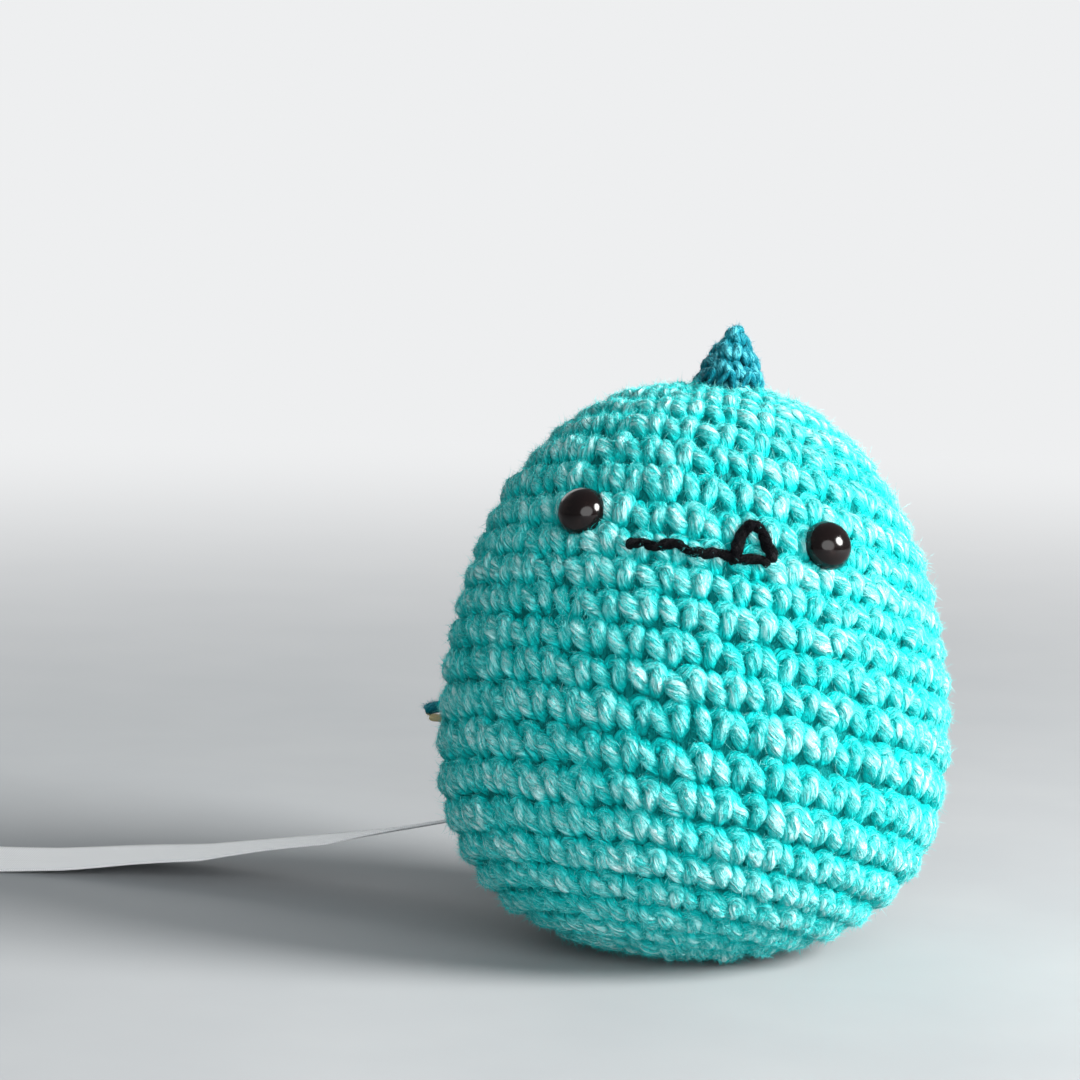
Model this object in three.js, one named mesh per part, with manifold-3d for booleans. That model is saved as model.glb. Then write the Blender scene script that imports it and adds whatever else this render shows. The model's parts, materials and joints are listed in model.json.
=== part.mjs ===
import * as THREE from "three";
import { mergeVertices } from "three/addons/utils/BufferGeometryUtils.js";
import Module from "manifold-3d";

const wasm = await Module();
wasm.setup();

// Driving dimensions of the crocheted body, in millimetres and degrees
const body_radius = 42.3;
const body_height = 93.5;
const widest_height = 34;
const centre_height = 45;
const floor_cut = 0.5;
const cover_wall = 3.6;
const crown_power = 2;
const crown_root = 0.42;
const seat_power = 2.4;
const seat_root = 0.38;
const toy_lean_deg = 6.5;
const toy_tilt_deg = 15;
const face_turn_deg = -6.1;
const closing_hole_radius = 3;

// Rounds of crochet, as ribs of the cover from its base up, and the closing above the last one
const rib_depth = 2;
const rib_root = 1.5;
const round_height_shares = [
  5.5, 5.5, 5.5, 5.5, 5.5, 5.6, 5.7, 5.9, 6.1, 6.5, 6.2, 5.6, 5.5,
  5.2, 4.9, 5.2, 5.6, 6.3, 6.2, 5.8, 5.8, 5.3, 5.3, 5.6, 5.8,
];
const closing_height_share = 3.2;
const plain_round_share = 1.5;
const plain_base_height = 4;

// Clearances that pieces keep from one another, and how far a cutter runs past what it cuts
const clearance = 0.3;
const overrun = 6;

// Safety eyes and their washers
const eye_radius = 4;
const eye_dome_height = 4.2;
const eye_rim_height = 0.7;
const eye_seat_depth = 1;
const eye_polar_deg = 62.9;
const eye_spread_deg = 29.75;
const shank_radius = 1.5;
const shank_ridge_depth = 0.25;
const shank_length = 10.5;
const shank_ridge_pitch = 1.6;
const shank_tip_length = 1;
const washer_radius = 5.5;
const washer_thickness = 1.4;
const washer_dish = 0.8;

// Black yarn of the mouth, and the stations of its line and its tooth
const face_yarn_radius = 0.75;
const face_yarn_end_depth = 1.6;
const mouth_polar_deg = 68.7;
const mouth_sag_deg = 0.6;
const mouth_left_deg = -21.6;
const mouth_right_deg = 10.3;
const mouth_waves = 2.5;
const tooth_left_deg = 1.9;
const tooth_right_deg = 10.8;
const tooth_rise_deg = 6;

// Teal spikes down the back, and the whip stitches along their edges
const spike_height = 13;
const spike_base_radius = 7;
const spike_gap = 4.4;
const first_spike_advance = 8;
const spike_power = 0.52;
const spike_skirt = 4;
const spike_height_shares = [0.78, 1, 1, 0.88, 0.7];
const spike_radius_shares = [0.6, 1, 1, 0.86, 0.68];
const spike_side_shares = [0, 0.16, -0.1, 0.08, 0];
const seam_yarn_radius = 0.6;
const seam_climb = 1.6;
const seam_stitches = 7;
const seam_stand_share = 1.5;

// Loose yarn and thread ends at the left of the body
const teal_end_radius = 0.95;
const teal_end_reach = 3.6;
const teal_end_height = 37.6;
const teal_end_turn_deg = -99;
const cream_end_radius = 0.6;
const cream_end_reach = 2.6;
const cream_end_drop = 2.6;
const yarn_end_root = 3;

// Woven label and the thread that holds its end
const label_width = 20;
const label_reach = 97;
const label_thickness = 0.5;
const label_sewn_height = 16.5;
const label_turn_deg = -122;
const label_end_heading_deg = 2;
const label_lift_power = 1.8;
const label_twist_deg = 5;
const label_thread_radius = 0.3;
const label_stitch_length = 2;
const label_stitch_start = 1.2;
const label_stitches = 9;

// How finely round shapes are faceted
const body_sides = 40;
const body_rings = 12;
const rib_rings = 4;
const stuffing_sides = 28;
const eye_sides = 20;
const spike_sides = 16;
const spike_rings = 6;
const yarn_sides = 6;
const mouth_steps = 26;
const tooth_steps = 16;
const seam_steps = 42;
const label_steps = 18;
const bisections = 40;
const walk_step_deg = 0.25;

const radians = THREE.MathUtils.degToRad;
const centre = new THREE.Vector3(0, 0, centre_height);

// Finishes
const finishes = {
  aqua_yarn: { color: 0x4fd3c8, roughness: 0.9, metalness: 0 },
  teal_yarn: { color: 0x0b9db0, roughness: 0.9, metalness: 0 },
  black_yarn: { color: 0x14161a, roughness: 0.85, metalness: 0 },
  cream_thread: { color: 0xe9dfb4, roughness: 0.9, metalness: 0 },
  fibre_filling: { color: 0xf4f4f0, roughness: 1, metalness: 0 },
  black_plastic: { color: 0x0b0909, roughness: 0.08, metalness: 0 },
  clear_plastic: { color: 0xdcdcd6, roughness: 0.4, metalness: 0 },
  label_satin: { color: 0xf1f0ee, roughness: 0.5, metalness: 0 },
  label_thread: { color: 0xf6f6f4, roughness: 0.7, metalness: 0 },
};

// Returns the geometry as one closed surface with merged points and outward faces.
function closed(geometry) {
  const bare = geometry.clone();
  for (const name of Object.keys(bare.attributes)) {
    if (name !== "position") bare.deleteAttribute(name);
  }
  const merged = mergeVertices(bare);
  const place = merged.attributes.position;
  const corners = [];
  let volume = 0;
  const a = new THREE.Vector3();
  const b = new THREE.Vector3();
  const c = new THREE.Vector3();
  for (let i = 0; i < merged.index.count; i += 3) {
    const [p, q, r] = [merged.index.getX(i), merged.index.getX(i + 1), merged.index.getX(i + 2)];
    if (p === q || q === r || r === p) continue;
    corners.push([p, q, r]);
    a.fromBufferAttribute(place, p);
    b.fromBufferAttribute(place, q);
    c.fromBufferAttribute(place, r);
    volume += a.dot(b.cross(c));
  }
  const outward = volume < 0 ? corners.map(([p, q, r]) => [p, r, q]) : corners;
  merged.setIndex(outward.flat());
  return merged;
}

function toSolid(geometry) {
  const surface = closed(geometry);
  return new wasm.Manifold(new wasm.Mesh({
    numProp: 3,
    vertProperties: Float32Array.from(surface.attributes.position.array),
    triVerts: Uint32Array.from(surface.index.array),
  }));
}

function toGeometry(solid) {
  const mesh = solid.getMesh();
  const geometry = new THREE.BufferGeometry();
  geometry.setAttribute("position", new THREE.BufferAttribute(Float32Array.from(mesh.vertProperties), 3));
  geometry.setIndex(new THREE.BufferAttribute(Uint32Array.from(mesh.triVerts), 1));
  return geometry;
}

function cut(geometry, cutters) {
  return toGeometry(cutters.reduce((solid, cutter) => solid.subtract(toSolid(cutter)), toSolid(geometry)));
}

// Turns a profile of radius and height about the Z axis.
function turned(points, sides) {
  const profile = points.map(([radius, height]) => new THREE.Vector2(radius, height));
  return closed(new THREE.LatheGeometry(profile, sides).rotateX(Math.PI / 2));
}

// A round bar from one point to another.
function bar(from, to, radius, sides) {
  const reach = to.clone().sub(from);
  const rod = turned([[0, 0], [radius, 0], [radius, reach.length()], [0, reach.length()]], sides);
  return rod.applyMatrix4(frameAt(from, reach.normalize()));
}

// A yarn of even radius along a smooth path through the points.
function yarn(points, radius, steps) {
  const section = new THREE.Shape(
    Array.from({ length: yarn_sides }, (_, i) => {
      const turn = (2 * Math.PI * i) / yarn_sides;
      return new THREE.Vector2(radius * Math.cos(turn), radius * Math.sin(turn));
    }),
  );
  const path = new THREE.CatmullRomCurve3(points);
  return closed(new THREE.ExtrudeGeometry(section, { steps, extrudePath: path, bevelEnabled: false }));
}

// A frame at a point whose Z axis is the given direction and whose X axis leans to a hint.
function frameAt(point, direction, hint = new THREE.Vector3(1, 0, 0)) {
  const side = hint.clone().addScaledVector(direction, -hint.dot(direction));
  if (side.lengthSq() < Number.EPSILON) side.set(0, 1, 0).addScaledVector(direction, -direction.y);
  side.normalize();
  const across = direction.clone().cross(side);
  return new THREE.Matrix4().makeBasis(side, across, direction).setPosition(point);
}

// Radius of the body at a height: an egg that is fullest below its middle.
function bodyRadius(height) {
  if (height >= widest_height) {
    const share = Math.min(1, (height - widest_height) / (body_height - widest_height));
    return body_radius * (1 - share ** crown_power) ** crown_root;
  }
  const share = Math.min(1, (widest_height - height) / (widest_height + floor_cut));
  return body_radius * (1 - share ** seat_power) ** seat_root;
}

// The body's profile from the floor to the crown, moved in by a depth along its normal.
function bodyProfile(depth) {
  const points = [];
  for (let i = 0; i <= 2 * body_rings; i += 1) {
    const turn = (Math.PI * i) / (2 * body_rings);
    const low = turn < Math.PI / 2;
    const span = low ? widest_height + floor_cut : body_height - widest_height;
    const height = widest_height - span * Math.cos(turn);
    points.push(new THREE.Vector2(bodyRadius(height), height));
  }
  const moved = points.map((point, i) => {
    const last = points.length - 1;
    const ahead = points[Math.min(last, i + 1)].clone().sub(points[Math.max(0, i - 1)]).normalize();
    const normal = new THREE.Vector2(ahead.y, -ahead.x);
    if (i === 0) normal.set(0, -1);
    if (i === last) normal.set(0, 1);
    return point.clone().addScaledVector(normal, -depth);
  });
  return moved.map((point) => [Math.max(0, point.x), point.y]);
}

function bodySolid(depth, sides) {
  const profile = bodyProfile(depth);
  profile[0][0] = 0;
  profile[profile.length - 1][0] = 0;
  return turned(profile, sides);
}

// Radius of the sphere that the crown comes closest to, for what lies along it.
const crown_curve_radius = (body_radius * body_radius) / (body_height - widest_height);

// Direction in the room of a place on the toy, which sits leaning to its left and tilted back.
// Polar angle is counted from the crown of its rounds, azimuth from the camera's side towards +X.
function toyDirection(polar_deg, azimuth_deg) {
  const polar = radians(polar_deg);
  const azimuth = radians(azimuth_deg);
  const direction = new THREE.Vector3(
    Math.sin(polar) * Math.sin(azimuth),
    -Math.sin(polar) * Math.cos(azimuth),
    Math.cos(polar),
  );
  direction.applyAxisAngle(new THREE.Vector3(1, 0, 0), -radians(toy_tilt_deg));
  return direction.applyAxisAngle(new THREE.Vector3(0, 1, 0), radians(toy_lean_deg));
}

// Where a ray from the body's centre leaves the body.
function surfacePoint(direction) {
  let near = 0;
  let far = body_radius + body_height;
  for (let i = 0; i < bisections; i += 1) {
    const middle = (near + far) / 2;
    const point = centre.clone().addScaledVector(direction, middle);
    const within = point.z < body_height && point.z > -floor_cut;
    if (within && Math.hypot(point.x, point.y) < bodyRadius(point.z)) near = middle;
    else far = middle;
  }
  return centre.clone().addScaledVector(direction, near);
}

// Outward normal of the body at one of its points.
function surfaceNormal(point) {
  const step = body_height / body_sides / body_sides;
  const low = Math.max(point.z - step, -floor_cut);
  const high = Math.min(point.z + step, body_height);
  const slope = (bodyRadius(high) - bodyRadius(low)) / (high - low);
  const flat = new THREE.Vector3(point.x, point.y, 0).normalize();
  return flat.setZ(-slope).normalize();
}

function toyPoint(polar_deg, azimuth_deg, lift = 0) {
  const point = surfacePoint(toyDirection(polar_deg, azimuth_deg));
  return point.addScaledVector(surfaceNormal(point), lift);
}

// A point at a height on the body, turned from the camera's side towards +X.
function bodyPoint(height, turn_deg, lift = 0) {
  const turn = radians(turn_deg);
  const point = new THREE.Vector3(Math.sin(turn), -Math.cos(turn), 0).multiplyScalar(bodyRadius(height));
  point.z = height;
  return point.addScaledVector(surfaceNormal(point), lift);
}

// Polar angle on the middle of the back at a surface length from the crown, less than 0 on the face's side.
function backPolar(length) {
  const step = Math.sign(length) * walk_step_deg;
  let polar = 0;
  let last = toyPoint(0, 0);
  for (let walked = 0; walked < Math.abs(length); polar += step) {
    const point = toyPoint(polar + step, face_turn_deg + 180);
    walked += point.distanceTo(last);
    last = point;
  }
  return polar;
}

// Polar angle on the toy's front at each share of the surface length from its base to its crown.
function frontPolars() {
  const count = 180 / walk_step_deg;
  const lengths = [0];
  let last = toyPoint(180, 0);
  for (let i = 1; i <= count; i += 1) {
    const point = toyPoint(180 - i * walk_step_deg, 0);
    lengths.push(lengths[i - 1] + point.distanceTo(last));
    last = point;
  }
  return (share) => {
    const length = share * lengths[count];
    const i = Math.min(count, Math.max(1, lengths.findIndex((walked) => walked >= length)));
    const part = (length - lengths[i - 1]) / (lengths[i] - lengths[i - 1]);
    return 180 - (i - 1 + THREE.MathUtils.clamp(part, 0, 1)) * walk_step_deg;
  };
}

// Outer surface of the cover: its rounds bulge, and the valleys between them run up it in one spiral
// that fades out at its base, where it stands flat.
function ribbedGeometry() {
  const polarAt = frontPolars();
  const rounds = round_height_shares.length;
  const ends = round_height_shares.reduce((sums, share) => [...sums, sums.at(-1) + share], [0]);
  const whole = ends[rounds] + closing_height_share;
  const rings = (rounds + 2) * rib_rings;
  const place = [];
  for (let k = 0; k < body_sides; k += 1) {
    const turn = k / body_sides - 1 / 2;
    for (let i = 0; i <= rings; i += 1) {
      const level = THREE.MathUtils.clamp(i / rib_rings - turn - 1, 0, rounds + 1);
      const low = Math.min(rounds - 1, Math.floor(level));
      const share = (ends[low] + (level - low) * (ends[low + 1] - ends[low])) / whole;
      const polar = level > rounds ? 0 : polarAt(share);
      const valley = ((1 + Math.cos((2 * Math.PI * i) / rib_rings)) / 2) ** rib_root;
      const azimuth = polar > 0 && polar < 180 ? 360 * turn : 0;
      const height = toyPoint(polar, azimuth).z;
      const rest = Math.min(level, rounds - level) / plain_round_share;
      const fade = THREE.MathUtils.clamp(Math.min(rest, height / plain_base_height), 0, 1);
      const point = toyPoint(polar, azimuth, -rib_depth * valley * fade);
      place.push(point.x, point.y, point.z);
    }
  }
  const index = [];
  const column = rings + 1;
  for (let k = 0; k < body_sides; k += 1) {
    const wraps = k === body_sides - 1;
    for (let i = 0; i < rings; i += 1) {
      const [a, b] = [k * column + i, k * column + i + 1];
      const c = wraps ? Math.max(0, i - rib_rings) : (k + 1) * column + i;
      const d = wraps ? Math.max(0, i + 1 - rib_rings) : (k + 1) * column + i + 1;
      index.push(a, c, b, b, c, d);
    }
  }
  const geometry = new THREE.BufferGeometry();
  geometry.setAttribute("position", new THREE.Float32BufferAttribute(place, 3));
  geometry.setIndex(index);
  return closed(geometry);
}

function named(name, geometry, finish) {
  const mesh = new THREE.Mesh(closed(geometry), new THREE.MeshStandardMaterial(finishes[finish]));
  mesh.name = name;
  return mesh;
}

// Eye placement: its frame has its origin on the seat and its Z axis out of the body
function eyeFrame(side) {
  const place = surfacePoint(toyDirection(eye_polar_deg, face_turn_deg + side * eye_spread_deg));
  const normal = surfaceNormal(place);
  return frameAt(place.addScaledVector(normal, clearance - eye_seat_depth), normal);
}

// Dome, flat back and ridged shank in one moulding.
function eyeGeometry() {
  const points = [[0, -shank_length]];
  points.push([shank_radius - shank_ridge_depth, -shank_length + shank_tip_length / 2]);
  const ridges = Math.floor((shank_length - shank_tip_length - cover_wall) / shank_ridge_pitch);
  for (let i = 0; i < ridges; i += 1) {
    const foot = -shank_length + shank_tip_length + i * shank_ridge_pitch;
    points.push([shank_radius, foot]);
    points.push([shank_radius - shank_ridge_depth, foot + shank_ridge_pitch / 2]);
  }
  points.push([shank_radius, -cover_wall / 2]);
  points.push([shank_radius, 0]);
  points.push([eye_radius - eye_rim_height / 2, 0]);
  points.push([eye_radius, eye_rim_height / 2]);
  const arcs = eye_sides / 4;
  for (let i = 0; i <= arcs; i += 1) {
    const turn = (Math.PI / 2) * (i / arcs);
    const rise = (eye_dome_height - eye_rim_height) * Math.sin(turn);
    points.push([i === arcs ? 0 : eye_radius * Math.cos(turn), eye_rim_height + rise]);
  }
  return turned(points, eye_sides);
}

// How far below the eye's seat the washer's outer face lies, clear of the curved cover.
const washer_sagitta = (washer_radius * washer_radius) / (2 * (body_radius - cover_wall));
const washer_top = -(cover_wall - eye_seat_depth + 2 * clearance + washer_sagitta);

// Dished locking washer that grips the shank.
function washerGeometry() {
  const bore = shank_radius + clearance;
  return turned([
    [bore, washer_top - washer_thickness - washer_dish],
    [bore + washer_thickness, washer_top - washer_thickness - washer_dish],
    [washer_radius, washer_top - washer_thickness],
    [washer_radius, washer_top],
    [bore + washer_thickness, washer_top - washer_dish],
    [bore, washer_top - washer_dish],
    [bore, washer_top - washer_thickness - washer_dish],
  ], eye_sides);
}

// Bore and counterbore in the cover for one eye.
function eyeSeatCutter() {
  const bore = shank_radius + clearance;
  return turned([
    [0, -cover_wall - overrun],
    [bore, -cover_wall - overrun],
    [bore, -clearance],
    [eye_radius + clearance, -clearance],
    [eye_radius + clearance, overrun],
    [0, overrun],
  ], eye_sides);
}

// Pocket in the filling for one washer and the tip of its shank.
function eyePocketCutter() {
  const floor = -shank_length - clearance;
  const pocket = washer_radius + clearance;
  return turned([[0, floor], [pocket, floor], [pocket, overrun], [0, overrun]], eye_sides);
}

// Mouth line along the groove between two rounds, with both ends turned into the cover by a depth
function mouthPath(depth) {
  const points = [toyPoint(mouth_polar_deg, mouth_left_deg, -depth)];
  const count = mouth_steps / 2;
  for (let i = 0; i <= count; i += 1) {
    const share = i / count;
    const azimuth = THREE.MathUtils.lerp(mouth_left_deg, mouth_right_deg, share);
    const wave = mouth_sag_deg * Math.sin(2 * Math.PI * mouth_waves * share);
    points.push(toyPoint(mouth_polar_deg + wave, azimuth));
  }
  points.push(toyPoint(mouth_polar_deg, mouth_right_deg, -depth));
  return points;
}

// Tooth arch that stands on the mouth line and points up, with its feet lengthened by an extra
function toothPath(extra) {
  const foot_gap = THREE.MathUtils.radToDeg((face_yarn_radius + 2 * clearance) / body_radius);
  const foot_polar_deg = mouth_polar_deg - mouth_sag_deg - foot_gap;
  const extra_deg = THREE.MathUtils.radToDeg(extra / body_radius);
  const points = [toyPoint(foot_polar_deg + extra_deg, tooth_left_deg)];
  const count = tooth_steps / 2;
  for (let i = extra > 0 ? 0 : 1; i <= count; i += 1) {
    const turn = (Math.PI * i) / count;
    const azimuth = THREE.MathUtils.lerp(tooth_left_deg, tooth_right_deg, (1 - Math.cos(turn)) / 2);
    const rise = tooth_rise_deg * Math.sin(turn);
    if (i < count) points.push(toyPoint(foot_polar_deg - rise, azimuth));
  }
  points.push(toyPoint(foot_polar_deg + extra_deg, tooth_right_deg));
  return points;
}

// Spikes: rounded cones that stand on the cover along the middle of the back
const spike_polars = spike_radius_shares.map((share, i, shares) => {
  const passed = shares.slice(1, i + 1).map((next, k) => spike_base_radius * (next + shares[k]) + spike_gap);
  return backPolar(passed.reduce((sum, length) => sum + length, -first_spike_advance));
});

function spikeFrame(index) {
  const crown = toyPoint(spike_polars[index], face_turn_deg + 180);
  const across = toyDirection(90, face_turn_deg - 90);
  const place = crown.addScaledVector(across, spike_side_shares[index] * spike_base_radius);
  const point = surfacePoint(place.sub(centre).normalize());
  return frameAt(point, surfaceNormal(point), across);
}

function spikeGeometry(index) {
  const height = spike_height * spike_height_shares[index];
  const radius = spike_base_radius * spike_radius_shares[index];
  const points = [[0, -spike_skirt], [radius, -spike_skirt]];
  for (let i = 0; i <= spike_rings; i += 1) {
    const share = 1 - (1 - i / spike_rings) ** 2;
    points.push([i === spike_rings ? 0 : radius * (1 - share) ** spike_power, height * share]);
  }
  return turned(points, spike_sides).applyMatrix4(spikeFrame(index));
}

// Whip stitch round a spike's foot: one yarn that climbs its flank and drops to the cover in turn
function spikeSeam(index) {
  const radius = spike_base_radius * spike_radius_shares[index];
  const height = spike_height * spike_height_shares[index];
  const stand_off = seam_yarn_radius + clearance;
  const points = [];
  const count = seam_steps / 2;
  const opening = (2 * seam_yarn_radius + 2 * clearance) / radius;
  for (let i = 0; i <= count; i += 1) {
    const turn = opening / 2 + ((2 * Math.PI - opening) * i) / count;
    const climb = (seam_climb * (1 - Math.cos(seam_stitches * turn))) / 2;
    const flank = radius * (1 - climb / height) ** spike_power;
    const out = flank + seam_stand_share * stand_off;
    const level = stand_off + climb - (out * out) / (2 * crown_curve_radius);
    points.push(new THREE.Vector3(out * Math.cos(turn), out * Math.sin(turn), level));
  }
  return yarn(points, seam_yarn_radius, seam_steps).applyMatrix4(spikeFrame(index));
}

// Loose ends that leave the cover between two stitches
const teal_root = bodyPoint(teal_end_height, teal_end_turn_deg, -yarn_end_root);
const teal_tip = bodyPoint(teal_end_height, teal_end_turn_deg, teal_end_reach);
const cream_height = teal_end_height - cream_end_drop;
const cream_root = bodyPoint(cream_height, teal_end_turn_deg, -yarn_end_root);
const cream_tip = bodyPoint(cream_height, teal_end_turn_deg, cream_end_reach);

// Bore in the cover round a loose end, a clearance deeper than the end itself.
function endBore(root, tip, radius) {
  const inward = root.clone().sub(tip).setLength(clearance);
  return bar(root.clone().add(inward), tip, radius + clearance, yarn_sides);
}

// Label: a strip that leaves the body square to its surface and comes down to the floor
const label_root = bodyPoint(label_sewn_height, label_turn_deg);
label_root.addScaledVector(new THREE.Vector3(label_root.x, label_root.y, 0).normalize(), clearance);
const label_start_heading = Math.atan2(label_root.y, -label_root.x);

function labelHeading(share) {
  return THREE.MathUtils.lerp(label_start_heading, radians(label_end_heading_deg), share);
}

// Centre, direction along, direction across and face normal of the label at a share of its reach.
function labelStation(share) {
  const slices = label_steps * 4;
  const point = label_root.clone().setZ(0);
  for (let i = 0; i < slices; i += 1) {
    const heading = labelHeading((share * (i + 1 / 2)) / slices);
    const slice = (share * label_reach) / slices;
    point.x -= slice * Math.cos(heading);
    point.y += slice * Math.sin(heading);
  }
  const drop = label_sewn_height - label_thickness / 2;
  point.z = label_thickness / 2 + drop * (1 - share) ** label_lift_power;
  const fall = (-drop * label_lift_power * (1 - share) ** (label_lift_power - 1)) / label_reach;
  const heading = labelHeading(share);
  const along = new THREE.Vector3(-Math.cos(heading), Math.sin(heading), fall).normalize();
  const twist = radians(label_twist_deg) * (1 - share);
  const level = new THREE.Vector3(Math.sin(heading), Math.cos(heading), 0);
  const across = level.applyAxisAngle(along, twist);
  const face = across.clone().cross(along).normalize();
  if (face.z < 0) face.negate();
  return { point, along, across, face };
}

function labelGeometry() {
  const place = [];
  const corners = [[-1, -1], [1, -1], [1, 1], [-1, 1]];
  for (let i = 0; i <= label_steps; i += 1) {
    const { point, across, face } = labelStation(i / label_steps);
    for (const [side, level] of corners) {
      const corner = point.clone().addScaledVector(across, (side * label_width) / 2);
      corner.addScaledVector(face, (level * label_thickness) / 2);
      place.push(corner.x, corner.y, corner.z);
    }
  }
  const index = [0, 2, 1, 0, 3, 2];
  for (let i = 0; i < label_steps; i += 1) {
    for (let k = 0; k < 4; k += 1) {
      const [a, b] = [4 * i + k, 4 * i + ((k + 1) % 4)];
      index.push(a, b, b + 4, a, b + 4, a + 4);
    }
  }
  const end = 4 * label_steps;
  index.push(end, end + 1, end + 2, end, end + 2, end + 3);
  const geometry = new THREE.BufferGeometry();
  geometry.setAttribute("position", new THREE.Float32BufferAttribute(place, 3));
  geometry.setIndex(index);
  return geometry;
}

// Zigzag of thread across the label's upper face, close to its sewn end.
function labelStitches() {
  const { point, along, across, face } = labelStation(0);
  const lift = label_thickness / 2 + clearance + label_thread_radius;
  const points = [];
  for (let i = 0; i <= label_stitches; i += 1) {
    const share = i / label_stitches - 1 / 2;
    const place = point.clone().addScaledVector(across, share * (label_width - 2 * label_stitch_start));
    place.addScaledVector(face, lift);
    place.addScaledVector(along, label_stitch_start + (i % 2) * label_stitch_length);
    points.push(place);
  }
  return yarn(points, label_thread_radius, label_stitches * 3);
}

// Cover: the ribbed egg less the hollow, the flat under it, and the bores and grooves of its neighbours
const outer = ribbedGeometry();
const hollow = bodySolid(cover_wall, body_sides);
const room = body_radius + overrun;
const floor_block = new THREE.BoxGeometry(2 * room, 2 * room, overrun).translate(0, 0, -overrun / 2);
const crown_point = toyPoint(0, 0);
const crown_normal = surfaceNormal(crown_point);
const closing_bore = bar(
  crown_point.clone().addScaledVector(crown_normal, -cover_wall - overrun / 2),
  crown_point.clone().addScaledVector(crown_normal, overrun),
  closing_hole_radius,
  eye_sides,
);
const eye_frames = { left: eyeFrame(-1), right: eyeFrame(1) };
const groove_radius = face_yarn_radius + clearance;
const cover_geometry = cut(outer, [
  hollow,
  floor_block,
  closing_bore,
  eyeSeatCutter().applyMatrix4(eye_frames.left),
  eyeSeatCutter().applyMatrix4(eye_frames.right),
  yarn(mouthPath(face_yarn_end_depth + clearance), groove_radius, mouth_steps),
  yarn(toothPath(clearance), groove_radius, tooth_steps),
  endBore(teal_root, teal_tip, teal_end_radius),
  endBore(cream_root, cream_tip, cream_end_radius),
]);

const stuffing_geometry = cut(bodySolid(cover_wall + clearance, stuffing_sides), [
  eyePocketCutter().applyMatrix4(eye_frames.left),
  eyePocketCutter().applyMatrix4(eye_frames.right),
]);

// Knot: the gathered yarn that fills the hole in the last round, between the first two spikes
const knot_radius = closing_hole_radius - clearance;
const knot_geometry = turned([
  [0, -cover_wall + clearance],
  [knot_radius * Math.SQRT1_2, -cover_wall + clearance],
  [knot_radius, -cover_wall / 2],
  [knot_radius * Math.SQRT1_2, -2 * clearance],
  [0, -2 * clearance],
], eye_sides).applyMatrix4(frameAt(crown_point, crown_normal));

const spike_seat = bodySolid(-clearance, body_sides);
const spikes = spike_height_shares.map((_, i) => cut(spikeGeometry(i), [spike_seat]));

const toy = new THREE.Group();
toy.add(named("body_cover", cover_geometry, "aqua_yarn"));
toy.add(named("stuffing", stuffing_geometry, "fibre_filling"));
toy.add(named("closing_knot", knot_geometry, "aqua_yarn"));
for (const [side, frame] of Object.entries(eye_frames)) {
  toy.add(named(`${side}_eye`, eyeGeometry().applyMatrix4(frame), "black_plastic"));
  toy.add(named(`${side}_eye_washer`, washerGeometry().applyMatrix4(frame), "clear_plastic"));
}
const mouth_geometry = yarn(mouthPath(face_yarn_end_depth), face_yarn_radius, mouth_steps);
toy.add(named("mouth_line", mouth_geometry, "black_yarn"));
toy.add(named("tooth_arch", yarn(toothPath(0), face_yarn_radius, tooth_steps), "black_yarn"));
spikes.forEach((spike, i) => {
  toy.add(named(`spike_${i + 1}`, spike, "teal_yarn"));
  toy.add(named(`spike_${i + 1}_seam`, spikeSeam(i), "teal_yarn"));
});
toy.add(named("teal_yarn_end", bar(teal_root, teal_tip, teal_end_radius, yarn_sides), "teal_yarn"));
toy.add(named("cream_thread_end", bar(cream_root, cream_tip, cream_end_radius, yarn_sides), "cream_thread"));
toy.add(named("care_label", labelGeometry(), "label_satin"));
toy.add(named("label_stitches", labelStitches(), "label_thread"));

export default toy;
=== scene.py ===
"""Crocheted dinosaur: every stitch is a length of yarn, laid round by round over an egg-shaped form."""

import json
import logging
import math
from dataclasses import dataclass, field
from enum import Enum
from functools import lru_cache
from typing import Callable, Dict, List, Optional, Sequence, Tuple

import bpy
import numpy as np
from mathutils import Matrix, Vector

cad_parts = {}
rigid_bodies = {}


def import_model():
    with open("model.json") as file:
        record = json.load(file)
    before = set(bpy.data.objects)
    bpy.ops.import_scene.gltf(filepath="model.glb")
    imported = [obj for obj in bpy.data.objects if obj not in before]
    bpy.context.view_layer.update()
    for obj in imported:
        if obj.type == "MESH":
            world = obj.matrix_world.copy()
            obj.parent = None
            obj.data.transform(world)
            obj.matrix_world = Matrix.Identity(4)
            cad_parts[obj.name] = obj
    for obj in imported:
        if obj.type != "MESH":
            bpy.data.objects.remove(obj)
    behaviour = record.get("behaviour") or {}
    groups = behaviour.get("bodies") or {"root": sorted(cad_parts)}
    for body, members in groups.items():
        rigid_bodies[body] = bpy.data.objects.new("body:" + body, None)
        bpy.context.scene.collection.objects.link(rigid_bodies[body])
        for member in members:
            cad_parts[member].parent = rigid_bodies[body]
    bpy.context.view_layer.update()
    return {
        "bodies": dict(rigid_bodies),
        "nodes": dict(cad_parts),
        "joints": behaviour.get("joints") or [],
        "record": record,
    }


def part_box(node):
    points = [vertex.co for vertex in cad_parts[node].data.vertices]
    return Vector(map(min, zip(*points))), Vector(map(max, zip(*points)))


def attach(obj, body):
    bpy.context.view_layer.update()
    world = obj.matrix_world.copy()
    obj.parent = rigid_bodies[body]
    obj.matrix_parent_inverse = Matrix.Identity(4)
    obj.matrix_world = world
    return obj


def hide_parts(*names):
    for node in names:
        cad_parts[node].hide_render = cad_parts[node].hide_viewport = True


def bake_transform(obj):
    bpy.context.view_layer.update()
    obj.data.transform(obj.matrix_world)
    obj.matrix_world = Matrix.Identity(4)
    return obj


log = logging.getLogger("dinosaur")

MM = 0.001
TURN = 2 * math.pi
TOY, LABEL = "toy", "label"
UV_NAME = "OFBake"
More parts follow.
